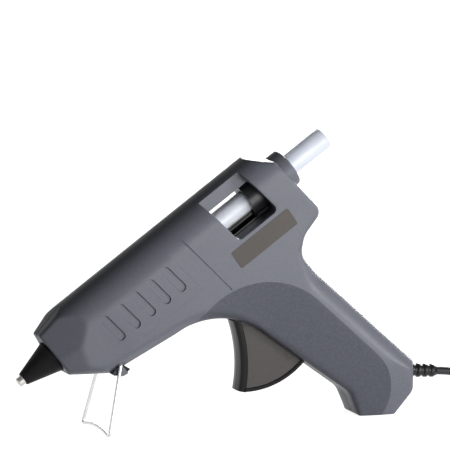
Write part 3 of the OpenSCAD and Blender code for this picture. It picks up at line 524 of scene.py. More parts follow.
# Nose: a slope that leans with the height, and a cone
NOSE_END, TAPER_U, TAPER, LEAN_V, LEAN_OVER, LEAN_UNDER = 90, 34, 0.34, -1, 1.2, 0.25
CONE_R, CONE_RISE, CONE_V, CONE_LEAST = 14.2, 0.65, 1, 2
# Back edge: a rounding that grows from the neck, and fades out ahead and inwards
BACK_DIR = unit(BUTT_TOP - BACK_START)
BACK_IN = np.array([BACK_DIR[1], -BACK_DIR[0]])
BACK_R, BACK_R_START, BACK_R_LEN = 12.5, -2, 25
BACK_T, BACK_T_LEN, BACK_T_LIFT = -4, 8, 3
BACK_D, BACK_D_LEN, BACK_D_LIFT = 1, 6, 2
# Butt's edge: rounding, how far ahead it fades out, and where it ends above
BUTT_EDGE_R, BUTT_REACH, BUTT_FADE, BUTT_LIFT, BUTT_HIGH = 9.0, 20, 8, 3, 60
EDGE_BLENDS = 6


outline, outline_side = rounded(OUTLINE_CORNERS, STEP)
edge_r = np.array([EDGE_R[int(round(2 * s))] for s in outline_side])
for _ in range(EDGE_BLENDS):
    edge_r = (np.roll(edge_r, 1) + edge_r + np.roll(edge_r, -1)) / 3


def quarter_drop(distance, radius):
    """How far a rounded edge falls below the flat at a distance from its brink."""
    reach = np.clip(radius - distance, 0, radius)
    return radius - np.sqrt(np.maximum(radius ** 2 - reach ** 2, 0))


def grip_frame(points):
    """Distance of points along the grip, across it, from its arch's middle and from the butt's middle."""
    rel = points - GRIP_MID
    return rel @ GRIP_ALONG, rel @ GRIP_UP, lengths(rel), lengths(points - BUTT_MID)


def grip_height(points):
    """Sloped face of the grip: an arch, a straight stretch, and the butt, which falls away behind it."""
    along, up, reach, butt_reach = grip_frame(points)
    arch = np.clip((GRIP_R - reach) * GRIP_RISE, 0, GRIP_DEEPEST)
    plain = np.maximum(GRIP_R - up, 0) * GRIP_RISE
    butt_reach = np.maximum(butt_reach, 1e-6)
    rim = BUTT_MID + (points - BUTT_MID) / butt_reach[:, None] * BUTT_R
    rim_drop = np.maximum(GRIP_R - (rim - GRIP_MID) @ GRIP_UP, 0) * GRIP_RISE
    behind = (along > BUTT_ALONG) & (butt_reach > BUTT_R) & (points[:, 0] > BUTT_MID[0])
    drop = np.where(along < 0, arch, np.where(behind, rim_drop + BUTT_FALL * (butt_reach - BUTT_R), plain))
    return np.where(drop > 0, HALF_W - drop, NO_LIMIT)


def panel_right(v):
    return PANEL_U + (PANEL_TOP - v) * PANEL_LEAN


def panel_rise(u, v):
    """The slotted side panel stands slightly proud and fades out to the front and the top."""
    within = (u < panel_right(v)) & (v > PANEL_LOW)
    fade = smooth_step((u - FADE_U) / FADE_U_LEN) * smooth_step((FADE_V - v) / FADE_V_LEN)
    return np.where(within, PANEL_RISE * fade, 0)


def nose_heights(u, v):
    """The two surfaces that narrow the barrel to the front."""
    lean = u - LEAN_OVER * np.maximum(v - LEAN_V, 0) + LEAN_UNDER * np.maximum(LEAN_V - v, 0)
    taper = HALF_W - (TAPER_U - lean) * TAPER
    cone_r = CONE_R + (u - FRONT_U) * CONE_RISE
    cone = np.sqrt(np.maximum(cone_r ** 2 - (v - CONE_V) ** 2, CONE_LEAST ** 2))
    return [np.where(u < NOSE_END, surface, NO_LIMIT) for surface in (taper, cone)]


def lower_height(points):
    """Slope along the barrel's lower edge and round the arch over the trigger."""
    rel = points - LOWER_FRONT
    line = rel @ np.array([-LOWER_DIR[1], LOWER_DIR[0]])
    arch = lengths(points - ARCH_MID) - ARCH_R
    return HALF_W - LOWER_EDGE + np.where(rel @ LOWER_DIR < ARCH_START, line, arch)


def back_height(points):
    t, d = (points - BACK_START) @ BACK_DIR, (points - BACK_START) @ BACK_IN
    radius = 0.01 + BACK_R * smooth_step((t - BACK_R_START) / BACK_R_LEN)
    fade = BACK_T_LIFT * (1 - smooth_step((t - BACK_T) / BACK_T_LEN))
    fade = fade + BACK_D_LIFT * smooth_step((d - radius - BACK_D) / BACK_D_LEN)
    return np.where(t > BACK_T, HALF_W + fade - quarter_drop(np.maximum(d, 0), radius), NO_LIMIT)


def butt_height(points):
    x, z = points.T
    ahead = BUTT_LIFT * (1 - smooth_step((x - BUTT_LOW[0] + BUTT_REACH) / BUTT_FADE))
    butt = HALF_W + ahead - quarter_drop(np.maximum(BUTT_LOW[0] - x, 0), BUTT_EDGE_R)
    return np.where(z < BUTT_HIGH, butt, NO_LIMIT)


def half_height(points):
    """Outer surface of a housing half over the side view, without slots and holes."""
    u, v = to_gun(points).T
    over = np.clip(v - (BARREL_TOP - SHOULDER_R), 0, SHOULDER_R)
    height = HALF_W + panel_rise(u, v) - SHOULDER_R + np.sqrt(SHOULDER_R ** 2 - over ** 2)
    taper, cone = nose_heights(u, v)
    surfaces = [(taper, 0.15), (cone, 1.6), (lower_height(points), 0.2), (grip_height(points), 0.05),
                (back_height(points), 0.3), (butt_height(points), 1.2)]
    for surface, blend in surfaces:
        height = smooth_min(height, surface, blend)
    far, which = nearest(points, outline)
    return height - quarter_drop(far, edge_r[which])


outline_edge = np.maximum(half_height(outline), PARTING_LIP)


def slanted(u, v, points):
    """Places points given along and across a line that leans with the slots."""
    points = np.asarray(points, float)
    along = np.array([math.sin(SLANT), -math.cos(SLANT)])
    across = np.array([math.cos(SLANT), math.sin(SLANT)])
    uv = np.array([u, v]) + points[:, :1] * along + points[:, 1:] * across
    return np.array([gun(*p) for p in uv])


def pill(length, width, steps=9):
    """A long loop with round ends, along its first axis."""
    r, reach = width / 2, (length - width) / 2
    ends = [arc_points((reach, 0), r, -math.pi / 2, math.pi / 2, steps),
            arc_points((-reach, 0), r, math.pi / 2, 3 * math.pi / 2, steps)]
    sides = [np.linspace(ends[k][-1], ends[1 - k][0], 10)[1:-1] for k in (0, 1)]
    return np.concatenate([ends[0], sides[0], ends[1], sides[1]])


WINDOW_U, WINDOW_LEN, WINDOW_TOP, WINDOW_LOW = 126.5, 25.6, 17.1, -9.3
WINDOW_FLOOR, WINDOW_SHELF, WINDOW_BEVEL = 6.5, 9.9, 0.35
TOP_R, LOW_R, SHELF_R = 0.4, 2.5, 0.01


def lean_u(u, v):
    return u + (WINDOW_TOP - v) * math.tan(SLANT)


def window_loop(grow):
    top, low = WINDOW_TOP + grow, WINDOW_LOW - grow
    rear = WINDOW_U + WINDOW_LEN
    corners = [(lean_u(WINDOW_U, WINDOW_TOP) - grow, top, TOP_R),
               (lean_u(rear, WINDOW_TOP) + grow, top, TOP_R),
               (lean_u(rear, WINDOW_SHELF) + grow, WINDOW_SHELF, SHELF_R),
               (lean_u(rear, WINDOW_LOW) + grow, low, LOW_R + grow),
               (lean_u(WINDOW_U, WINDOW_LOW) - grow, low, LOW_R + grow),
               (lean_u(WINDOW_U, WINDOW_SHELF) - grow, WINDOW_SHELF, SHELF_R)]
    loop, _ = rounded(corners, 1.2)
    return np.array([gun(*p) for p in loop])


SCREWS = [gun(112, 13.2), gun(58, 13.2), gun(164, -20), gun(72, -23), np.array([55.3, 56.8]),
          np.array([80.0, 9.0])]
SCREW_FLOORS = [7.13, 7.13, 10.1, 10.1, 10.1, 10.1]
SCREW_R, SCREW_SEAT_R, SCREW_BEVEL = 2.9, 1.65, 0.3
SLOTS, SLOT_U, SLOT_PITCH, SLOT_V, SLOT_LEN, SLOT_W = 5, 52.7, 9.9, -3.1, 16.8, 4.6
GROOVE_U, GROOVE_TOP, GROOVE_LOW, GROOVE_W = 107.1, 10, -27.2, 0.72
# Loops down each wall: how deep they are sunk, with the slot's shrinking, the groove's width, the window's
# growth or the well's radius
SLOT_RINGS = ((0.0, 0.0), (0.16, 0.12), (0.8, 0.5))
GROOVE_RINGS = ((0.0, GROOVE_W), (0.5, 0.4))
WINDOW_RINGS = ((0.0, WINDOW_BEVEL), (0.1, 0.1), (WINDOW_BEVEL, 0))
WELL_RINGS = ((0.0, SCREW_R + SCREW_BEVEL), (SCREW_BEVEL, SCREW_R))
# Lines either side of a crisp edge, and the spacing of free points
CREST_INSET, PANEL_EDGES = 0.22, (-0.02, 0.22)
EDGE_RINGS, GRID = (0.12, 0.4, 0.85, 1.45, 2.3, 3.4, 4.6, 6.0), 1.5
GRID_INSET, LINE_ROOM = 6.7, 0.55
FRONT_HOLE_R, REAR_HOLE_R = 8.9, 6.15
WALL, THIN_WALL, THIN_V, THIN_AHEAD, THIN_BEHIND = 1.7, 0.08, 13, 5, 7
MERGE_GAP, SLIVER, HOUSING_ANGLE = 0.004, 0.0005, 34
COLLAR = [(167.6, 10.2), (175.3, 10.2), (176.1, 10.05), (176.7, 9.6), (177, 8.9), (177, 7), (176.7, 6.4),
          (176, 6.1), (167.6, 6.1)]


class Half:
    """Collects the surface of one half in millimetres, before it is thickened."""

    def __init__(self):
        self.vertices = []
        self.faces = []
        # How deep in a recess each vertex lies: the housing's colour paints shade by it.
        self.depth = []

    def add(self, points, depth=0.0):
        """Adds vertices and gives their numbers."""
        first = len(self.vertices)
        self.vertices += [tuple(p) for p in points]
        self.depth += list(np.broadcast_to(depth, len(points)))
        return range(first, len(self.vertices))

    def strip(self, upper, lower, skip=None):
        """Quads between two closed rows of vertices."""
        for i in range(len(upper)):
            k = (i + 1) % len(upper)
            if skip is None or not (skip[i] and skip[k]):
                self.faces.append((upper[i], upper[k], lower[k], lower[i]))

    def fill(self, flat, edges, rim, holes, placed):
        """Triangles over flat points, within a rim and outside holes, that a function puts in place."""
        points, triangles, origin = triangulate(flat, edges)
        middles = np.array([points[list(t)].mean(0) for t in triangles])
        kept = inside(middles, rim)
        for hole in holes:
            kept &= ~inside(middles, hole)
        ids = self.add(placed(points, origin))
        self.faces += [tuple(ids[k] for k in t) for t, keep in zip(triangles, kept) if keep]


def surface_points(loops, lines, holes):
    """Free points between the fixed loops: rings near the outline and a grid inside."""
    rings = []
    inward = normals_in(outline)
    for d in EDGE_RINGS:
        ring = outline + d * inward
        far, _ = nearest(ring, outline)
        rings.append(ring[(far > 0.97 * d) & inside(ring, outline)])
    low, high = outline.min(0), outline.max(0)
    rows = []
    for k, z in enumerate(np.arange(low[1], high[1], GRID * 0.866)):
        x = np.arange(low[0], high[0], GRID) + (k % 2) * GRID / 2
        rows.append(np.stack([x, np.full(len(x), z)], 1))
    cells = np.concatenate(rows)
    cells = cells[inside(cells, outline)]
    far, _ = nearest(cells, outline)
    free = np.concatenate(rings + [cells[far > GRID_INSET]])
    fixed = np.concatenate(loops[1:] + lines)
    keep = np.ones(len(free), bool)
    for p in fixed:
        keep &= ((free - p) ** 2).sum(1) > LINE_ROOM ** 2
    for hole in holes:
        keep &= ~inside(free, hole)
    return free[keep]


def grip_line(inset):
    """The crest of the grip face, which stays crisp, or a line just inside it."""
    arch = arc_points(GRIP_MID, GRIP_R - inset, math.radians(178), GRIP_ANGLE + math.pi / 2, 70)
    start = GRIP_MID + (GRIP_R - inset) * GRIP_UP
    straight = np.array([start + GRIP_ALONG * BUTT_ALONG * k / 36 for k in range(1, 36)])
    butt = arc_points(BUTT_MID, BUTT_R - inset, GRIP_ANGLE + math.pi / 2, math.radians(-36), 60)
    crest = np.concatenate([arch, straight, butt])
    far, _ = nearest(crest, outline)
    return crest[inside(crest, outline) & (far > 0.3)]


def recess_rings():
    """Loops down the walls of the slots, the groove and the window's bevel, and how deep each is sunk."""
    rings = []
    for i in range(SLOTS):
        for sink, shrink in SLOT_RINGS:
            shape = pill(SLOT_LEN - shrink, SLOT_W - shrink)
            rings.append((slanted(SLOT_U + SLOT_PITCH * i, SLOT_V, shape), sink))
    fall = GROOVE_TOP - GROOVE_LOW
    u, v = GROOVE_U + math.tan(SLANT) * fall / 2, (GROOVE_TOP + GROOVE_LOW) / 2
    for sink, width in GROOVE_RINGS:
        rings.append((slanted(u, v, pill(fall / math.cos(SLANT) - (GROOVE_W - width), width, 3)), sink))
    return rings + [(window_loop(grow), sink) for sink, grow in WINDOW_RINGS]


def panel_line(out):
    """A line along the panel's rear and lower edge."""
    low = PANEL_LOW - out
    rear = [(panel_right(v) + out, v) for v in np.linspace(PANEL_TOP, low, 20)]
    under = [(u, low) for u in np.linspace(rear[-1][0], PANEL_FRONT, 42)[1:]]
    return np.array([gun(*p) for p in rear + under])


def side_face(half, screws):
    """The whole outer side, with slots, groove, panel edge, window and screw holes."""
    pits = recess_rings()
    wells = [(circle(p, radius), sink) for p in screws for sink, radius in WELL_RINGS]
    holes = [window_loop(0)] + [circle(p, SCREW_R) for p in screws]
    rings = [(outline, 0.0)] + pits + wells
    loops = [loop for loop, _ in rings]
    lines = [grip_line(0), grip_line(CREST_INSET)] + [panel_line(out) for out in PANEL_EDGES]
    free = surface_points(loops, lines, [loop for loop, _ in pits] + holes)
    points = np.concatenate(loops + lines + [free])
    edges, sunk, first = [], np.zeros(len(points)), 0
    for loop, sink in rings:
        edges += loop_edges(first, len(loop))
        sunk[first:first + len(loop)] = sink
        first += len(loop)
    for line in lines:
        edges += loop_edges(first, len(line), closed=False)
        first += len(line)

    def placed(flat, origin):
        height = np.maximum(half_height(flat), PARTING_LIP)
        for i, source in enumerate(origin):
            if source and source[0] < len(outline):
                height[i] = outline_edge[source[0]]
            elif source:
                height[i] -= sunk[source[0]]
        return raised(flat, height)

    half.fill(points, edges, outline, holes, placed)


def side_span(side):
    """Which points of the outline lie on a side or next to it."""
    on = outline_side == side
    return on | np.roll(on, 1) | np.roll(on, -1)


def outline_wall(half):
    """The narrow wall from the side to the parting line, open where the trigger swings. Gives its rows."""
    rel = outline - PIVOT
    swing = lengths(rel) < TRIGGER_ROOM
    swing &= (rel[:, 0] > SWING_FRONT) & (rel[:, 1] < SWING_TOP)
    ends = side_span(FRONT_SIDE) | side_span(REAR_SIDE)
    middle = np.where(swing, TRIGGER_GAP, np.minimum(TRIGGER_GAP, 0.6 * outline_edge))
    rows = [raised(outline, outline_edge), raised(outline, middle),
            raised(outline, np.minimum(PARTING_LIP, 0.6 * middle)),
            raised(outline + PARTING_IN * normals_in(outline), PARTING_Y)]
    ids = [half.add(row) for row in rows]
    half.strip(ids[0], ids[1], ends)
    half.strip(ids[1], ids[2], ends | swing)
    half.strip(ids[2], ids[3], ends | swing)
    return rows


def end_face(half, rows, chosen, hole_r):
    """Front or rear face of the barrel, with a round hole on the stick's axis."""
    order = np.flatnonzero(chosen)
    gap = np.flatnonzero(np.diff(order) > 1)
    if len(gap):
        order = np.roll(order, -(gap[0] + 1))
    loop = [rows[0][i] for i in order] + [rows[k][order[-1]] for k in (1, 2, 3)]
    tail = [rows[k][order[0]] for k in (3, 2, 1)]
    start, end = to_gun(np.array([loop[-1][[0, 2]], tail[0][[0, 2]]]))
    slope = (end[0] - start[0]) / (end[1] - start[1])
    sign = 1 if start[1] > end[1] else -1
    for v, y in arc_points((0, 0), hole_r, 0, math.pi, 32)[::sign]:
        x, z = gun(start[0] + (v - start[1]) * slope, v)
        loop.append(np.array([x, max(y, PARTING_Y), z]))
    loop = np.array(loop + tail)
    flat = np.stack([to_gun(loop[:, [0, 2]])[:, 1], loop[:, 1]], 1)

    def placed(_, origin):
        return [loop[source[0]] if source else (0, 0, 0) for source in origin]

    half.fill(flat, loop_edges(0, len(flat)), flat, [], placed)


def window_walls(half):
    """Walls of the window down to its floor, which is a shelf above the stick."""
    loop = window_loop(0)
    u, v = to_gun(loop).T
    below = WINDOW_SHELF - 0.05
    rear = u > lean_u(WINDOW_U + 0.7 * WINDOW_LEN, 0)
    round_stick = np.maximum(np.sqrt(np.maximum(WINDOW_SHELF ** 2 - v ** 2, 0)), WINDOW_FLOOR)
    top = half_height(loop) - WINDOW_BEVEL
    floor = np.where(rear & (v < below), round_stick, WINDOW_FLOOR)
    # Painted shade: the rear walls and those below the stick darken towards the floor, less above the shelf.
    dark = (rear | (v < 0)).astype(float)
    dark = np.where(v > below, 0.35 * dark, dark)
    upper = half.add(raised(loop, top))
    centre = half.add(raised(loop, 0.5 * (top + floor)), 0.6 * dark)
    lower = half.add(raised(loop, floor), dark)
    half.strip(upper, centre)
    half.strip(centre, lower)
    shelf = loop[v > WINDOW_SHELF - 0.02]
    half.fill(shelf, loop_edges(0, len(shelf)), shelf, [], lambda flat, _: raised(flat, WINDOW_FLOOR))


def screw_wells(half, screws):
    for p, floor in zip(screws, SCREW_FLOORS):
        ring = circle(p, SCREW_R)
        upper = half.add(raised(ring, half_height(ring) - SCREW_BEVEL))
        # Painted shade: the well's floor and the screw's seat are painted fully dark.
        lower = half.add(raised(ring, floor), 1.0)
        seat = half.add(raised(circle(p, SCREW_SEAT_R), floor), 1.0)
        half.strip(upper, lower)
        half.strip(lower, seat)


def half_collar(bm, sign):
    """Half of the ring that the stick enters."""
    rings = []
    for a in np.linspace(0.001, math.pi - 0.001, 31):
        line = [(gun(u, r * math.cos(a)), sign * r * math.sin(a)) for u, r in COLLAR]
        rings.append([bm.verts.new((x, y, z)) for (x, z), y in line])
    bridge(bm, rings)


STAND = np.array([-55.84317, 37.10688])
LUG_R, LUG_ROOT, LUG_BEVEL = 7.0, 1.6, 0.35
# Blocks round the stand's pivot: first and last angle, inner and outer side, radius and material
# The first block, in the near-black inside material, is painted shade in the gaps round the wire.
LUGS = ((-142, -32, 7.2, 12.0, 6.8, 1), (-128, -111, 9.0, 13.2, LUG_R, 0), (-95, -50, 9.0, 13.2, LUG_R, 0))


def sector(bm, start, end, y0, y1, radius, material):
    """A fan-shaped block round the stand's pivot."""
    a0, a1 = math.radians(start), math.radians(end)
    root = [STAND + LUG_ROOT * np.array([math.cos(a), math.sin(a)]) for a in (a1, a0)]
    extrude(bm, np.concatenate([arc_points(STAND, radius, a0, a1, 14), root]), y0, y1, material, LUG_BEVEL)


def extrude(bm, flat, y0, y1, material=0, bevel=0.0):
    """Solid between y0 and y1 over a closed line of the side view, with bevelled rims on request."""
    step = bevel if y1 > y0 else -bevel
    levels = [(y0, bevel), (y0 + step, 0.0), (y1 - step, 0.0), (y1, bevel)]
    if bevel == 0:
        levels = [(y0, 0.0), (y1, 0.0)]
    area = (flat[:, 0] * np.roll(flat[:, 1], -1) - np.roll(flat[:, 0], -1) * flat[:, 1]).sum()
    inward = -normals_in(flat) if area > 0 else normals_in(flat)
    for face in bridge(bm, [side_row(bm, flat + cut * inward, y) for y, cut in levels]):
        face.material_index = material


def on_crest(points, slack=0.006):
    along, up, reach, butt_reach = grip_frame(points)
    arch = (np.abs(reach - GRIP_R) < slack) & (along < slack)
    straight = (np.abs(up - GRIP_R) < slack) & (along > -slack) & (along < BUTT_ALONG + slack)
    butt = (np.abs(butt_reach - BUTT_R) < slack) & (along > BUTT_ALONG - slack)
    return arch | straight | butt


def on_grip(points, slack=0.1):
    """1 on the sloped face that the hand holds, 0 elsewhere."""
    along, up, reach, butt_reach = grip_frame(points)
    below = GRIP_R - np.where(along < 0, reach, up) > slack
    behind = (along > BUTT_ALONG) & (points[:, 0] > BUTT_MID[0])
    return (below & (~behind | (BUTT_R - butt_reach > slack))).astype(float)


def side_view(mesh):
    return np.array([(v.co.x, v.co.z) for v in mesh.vertices]) / MM


def sharpen(mesh):
    """Marks the grip's crest as sharp, and the wall's rims, which stay out of the shading beside them."""
    crest = on_crest(side_view(mesh))
    users = np.zeros(len(mesh.edges), int)
    for loop in mesh.loops:
        users[loop.edge_index] += 1
    for edge in mesh.edges:
        if users[edge.index] == 1 or all(crest[k] for k in edge.vertices):
            edge.use_edge_sharp = True


def thin_walls(piece):
    """Weights for the wall: it thins out where the window runs into the shoulder."""
    u, v = to_gun(side_view(piece.data)).T
    thin = (v > THIN_V) & (u > WINDOW_U - THIN_AHEAD) & (u < WINDOW_U + WINDOW_LEN + THIN_BEHIND)
    group = piece.vertex_groups.new(name="wall")
    group.add(np.flatnonzero(thin).tolist(), THIN_WALL, "REPLACE")
    group.add(np.flatnonzero(~thin).tolist(), 1.0, "REPLACE")


def flank_share(face):
    """How much of the flat side a face makes up."""
    return face.calc_area() * abs(face.normal.y) * (abs(face.calc_center_median().y) > HALF_W - 0.5)


def half_mesh(half, sign):
    """The collected surface as one mesh, with its depth and grip, the masks for painted shade, facing
    outwards.
    """
    bm = bmesh.new()
    deep = bm.verts.layers.float.new("depth")
    held = bm.verts.layers.float.new("grip")
    made = [bm.verts.new((x, sign * y, z)) for x, y, z in half.vertices]
    flat = np.array(half.vertices)[:, [0, 2]]
    for vertex, depth, grip in zip(made, half.depth, on_grip(flat)):
        vertex[deep] = depth
        vertex[held] = grip
    for face in half.faces:
        bm.faces.new([made[i] for i in face])
    bmesh.ops.remove_doubles(bm, verts=bm.verts, dist=MERGE_GAP)
    bmesh.ops.dissolve_degenerate(bm, dist=SLIVER, edges=bm.edges)
    loose = [v for v in bm.verts if not v.link_faces]
    bmesh.ops.delete(bm, geom=loose, context="VERTS")
    face_out(bm)
    bm.normal_update()
    if max(bm.faces, key=flank_share).normal.y * sign < 0:
        bmesh.ops.reverse_faces(bm, faces=bm.faces)
    return bm


def make_half(name, node, sign, screws):
    looks = [housing_look, inside_look]
    half = Half()
    side_face(half, screws)
    rows = outline_wall(half)
    end_face(half, rows, side_span(FRONT_SIDE), FRONT_HOLE_R)
    end_face(half, rows, side_span(REAR_SIDE), REAR_HOLE_R)
    window_walls(half)
    screw_wells(half, screws)
    piece = finish_mesh(name, half_mesh(half, sign), looks, "housing", [node], HOUSING_ANGLE)
    sharpen(piece.data)
    thin_walls(piece)
    thick = piece.modifiers.new("wall", "SOLIDIFY")
    thick.vertex_group = "wall"
    thick.thickness = WALL * MM
    thick.offset = -1
    # Inner faces take the near-black inside material, which is painted shade.
    thick.material_offset = 1
    trim = bmesh.new()
    half_collar(trim, sign)
    for start, end, inner, outer, radius, material in LUGS:
        sector(trim, start, end, sign * inner, sign * outer, radius, material)
    face_out(trim)
    finish_mesh(name + "_trim", trim, looks, "housing", angle=HOUSING_ANGLE)


make_half("left_housing", "left_shell", -1, [])
make_half("right_housing", "right_shell", 1, SCREWS)


# Turned pieces

BARREL_ORIGIN = np.array([TIP[0], 0, TIP[1]])
BARREL_AXIS = np.array([COS_P, 0, SIN_P])


def revolve(bm, profile, origin, axis, steps=48, materials=None):
    """Solid turned about an axis from a closed line of distance, radius points."""
    axis = unit(axis)
    side = unit(np.cross(axis, (0, 1, 0))) if abs(axis[1]) < 0.9 else np.array([1.0, 0, 0])
    other = np.cross(axis, side)
    count = len(profile)
    rings = []
    for k in range(steps):
        a = FULL_TURN * k / steps
        out = side * math.cos(a) + other * math.sin(a)
        rings.append([bm.verts.new(origin + s * axis + r * out) for s, r in profile])
    for k in range(steps):
        ring, following = rings[k], rings[(k + 1) % steps]
        for i in range(count):
            j = (i + 1) % count
            if profile[i][1] < 1e-6 and profile[j][1] < 1e-6:
                continue
            face = bm.faces.new((ring[i], ring[j], following[j], following[i]))
            face.material_index = materials[i] if materials else 0
    bmesh.ops.remove_doubles(bm, verts=bm.verts, dist=1e-4)
    face_out(bm)


def soften(profile, size, steps=4):
    """Rounds each corner of a closed line of distance, radius points that has room for it."""
    points = np.asarray(profile, float)
    out = []
    for i, q in enumerate(points):
        p, s = points[i - 1], points[(i + 1) % len(points)]
        cut = min(size, 0.45 * min(np.linalg.norm(p - q), np.linalg.norm(s - q)))
        out += curved(q + unit(p - q) * cut, q, q + unit(s - q) * cut, steps)
    return [tuple(p) for p in out]


def turned_piece(name, profile, look, node, body="housing", origin=BARREL_ORIGIN, axis=BARREL_AXIS,
                 angle=32):
    bm = bmesh.new()
    revolve(bm, profile, origin, axis)
    finish_mesh(name, bm, [look], body, [node], angle)


def make_hot_end():
    cone_r = 7.6
    metal = [(0.03, 0.9), (0.03, 2.4), (2.8, 2.4), (FRONT_U, cone_r), (24.6, cone_r), (25.9, 6), (25.9, 4),
             (31, 4), (31, 2.4), (16, 1.9), (6, 0.9)]
    cover = [(2.9, 2.5), (FRONT_U, cone_r + 0.1), (24.4, cone_r + 0.1), (24.4, 10.1), (23.8, 10.1),
             (23.8, 8.6), (20.7, 8.6), (19.7, 8.15), (3.3, 3.4)]
    turned_piece("nozzle_metal", soften(metal, 0.45), bright_look, "nozzle")
    turned_piece("nozzle_cover", soften(cover, 0.5), nozzle_rubber_look, "nozzle_sleeve")


def make_stick():
    """The stick has soft rims and slightly dished ends."""
    start, end, r = 60.7, 200.7, 5.6
    profile = [(start + 0.5, 0), (start + 0.3, 3), (start, r - 0.5), (start + 0.5, r)]
    profile += [(u, r - 0.03 * (k % 2)) for k, u in enumerate(np.arange(start + 10, end - 5, 10))]
    profile += [(end - 0.5, r), (end, r - 0.5), (end - 0.3, 3), (end - 0.5, 0)]
    turned_piece("stick", profile, stick_look, "glue_stick", body="stick", angle=50)


# Trigger

FINGER_R = 70.0
TRIGGER_R = 42.5
TRIGGER_HALF = 6.0
HOLLOW_HALF = 5.2
FRONT_RIM, FOOT_RIM = 4.0, 2.0
FOOT_START, FOOT_END = math.radians(-92.5), math.radians(-38)
HUB_R = 6.5
FINGER_MID = PIVOT + np.array([-73.411, -29.144])
ARM_ANGLE = math.radians(112.5)
ARM_HALF = 3
ARM = [(-5.1, 0), (5.1, 0), (5.1, 34.0), (4.7, 34.4), (2.3, 34.4), (2.3, 29.8), (1.6, 29.2), (-1.6, 29.2),
       (-2.3, 29.8), (-2.3, 34.4), (-4.7, 34.4), (-5.1, 34.0)]
BADGES, BADGE_R, BADGE_PIT_R, BADGE_RISE = ((17.2, 24.1), (38.3, 32.9)), 2.0, 1.75, 0.14


def turned_about(points, angle):
    c, s = math.cos(angle), math.sin(angle)
    points = np.asarray(points, float)
    return PIVOT + np.stack([c * points[:, 0] - s * points[:, 1], s * points[:, 0] + c * points[:, 1]], 1)


def trigger_outline(inner_front, inner_foot):
    """Side view of the trigger's fan, inset from its front and its foot."""
    front = arc_points(FINGER_MID, FINGER_R + inner_front, math.radians(19.5), math.radians(-12.5), 40)
    reach = TRIGGER_R - inner_foot
    front = front[lengths(front - PIVOT) < reach - 0.05]
    last = front[-1] - PIVOT
    foot = arc_points(PIVOT, reach, math.atan2(last[1], last[0]) + 0.004, FOOT_END, 44)
    return np.concatenate([front, foot, [PIVOT + (6, -0.5)]])


def front_section():
    """Half of the front band's section, as depth behind the front and distance from the middle."""
    crown = [(0.28, 0), (0.02, 0.22)] + [(0.02 + 0.3 * (y / 4.4) ** 2, y) for y in np.linspace(0.6, 4.4, 8)]
    edge = [(0.55, 5.1), (0.95, 5.6), (1.5, 5.9), (2.0, TRIGGER_HALF)]
    back = [(FRONT_RIM - 0.4, TRIGGER_HALF), (FRONT_RIM - 0.1, TRIGGER_HALF - 0.12), (FRONT_RIM, 5.6)]
    return crown + edge + back


def make_trigger_core():
    core = bmesh.new()
    extrude(core, trigger_outline(1.0, 0.6), -HOLLOW_HALF, HOLLOW_HALF)
    hub_half = TRIGGER_HALF - 0.05
    extrude(core, circle(PIVOT, HUB_R + 1.9, 40), -hub_half, hub_half, 0, 0.3)
    extrude(core, turned_about(ARM, ARM_ANGLE - math.pi / 2), -ARM_HALF, ARM_HALF)
    for place in BADGES:
        ring, pit = circle(place, BADGE_R), circle(place, BADGE_PIT_R)
        levels = [(ring, -0.05), (ring, BADGE_RISE), (pit, BADGE_RISE), (pit, 0.02)]
        for sign in (-1, 1):
            bridge(core, [side_row(core, line, sign * (HOLLOW_HALF + rise)) for line, rise in levels])
    face_out(core)
    finish_mesh("trigger_core", core, [trigger_look], "trigger", ["trigger"], 30)


def make_trigger_rim():
    """The glossy band down the front and along the foot."""
    band = bmesh.new()
    half = front_section()
    section = [(d, -y) for d, y in reversed(half[1:])] + half
    rings = []
    for a in np.radians(np.linspace(19.4, -10.5, 60)):
        line = [(FINGER_MID + (FINGER_R + d) * np.array([math.cos(a), math.sin(a)]), y) for d, y in section]
        rings.append([band.verts.new((x, y, z)) for (x, z), y in line])
    bridge(band, rings)
    foot = np.concatenate([arc_points(PIVOT, TRIGGER_R, FOOT_START, FOOT_END, 50),
                           arc_points(PIVOT, TRIGGER_R - FOOT_RIM, FOOT_END, FOOT_START, 50)])
    extrude(band, foot, -TRIGGER_HALF, TRIGGER_HALF, 0, 0.35)
    face_out(band)
    finish_mesh("trigger_rim", band, [gloss_look], "trigger", angle=30)


# Stand, cord and plug

WIRE_D, LEG_Y, FOOT_Y, BAR_RISE = 1.8, 14.4, 19.5, 2.2
STAND_LEAN = math.tan(math.radians(13))
LUG_IN = 7.0


def curve_piece(name, points, diameter, look, body, nodes, sides=4):
    """A round wire or cord along points."""
    data = bpy.data.curves.new(name, "CURVE")
    data.dimensions = "3D"
    data.bevel_depth = diameter / 2 * MM
    data.bevel_resolution = sides
    data.use_fill_caps = True
    spline = data.splines.new("POLY")
    spline.points.add(len(points) - 1)
    for point, p in zip(spline.points, points):
        point.co = (p[0] * MM, p[1] * MM, p[2] * MM, 1)
    spline.use_smooth = True
    data.materials.append(look.material)
    return place_piece(name, data, body, nodes)


def smooth_line(points, parts):
    """Catmull-Rom line through the points, with the given number of parts between two of them."""
    points = np.asarray(points, float)
    padded = np.concatenate([[2 * points[0] - points[1]], points, [2 * points[-1] - points[-2]]])
    out = []
    for a, b, c, d in zip(padded, padded[1:], padded[2:], padded[3:]):
        for t in np.arange(parts) / parts:
            out.append(0.5 * (2 * b + (c - a) * t + (2 * a - 5 * b + 4 * c - d) * t ** 2
                              + (3 * b - a - 3 * c + d) * t ** 3))
    return np.array(out + [points[-1]])


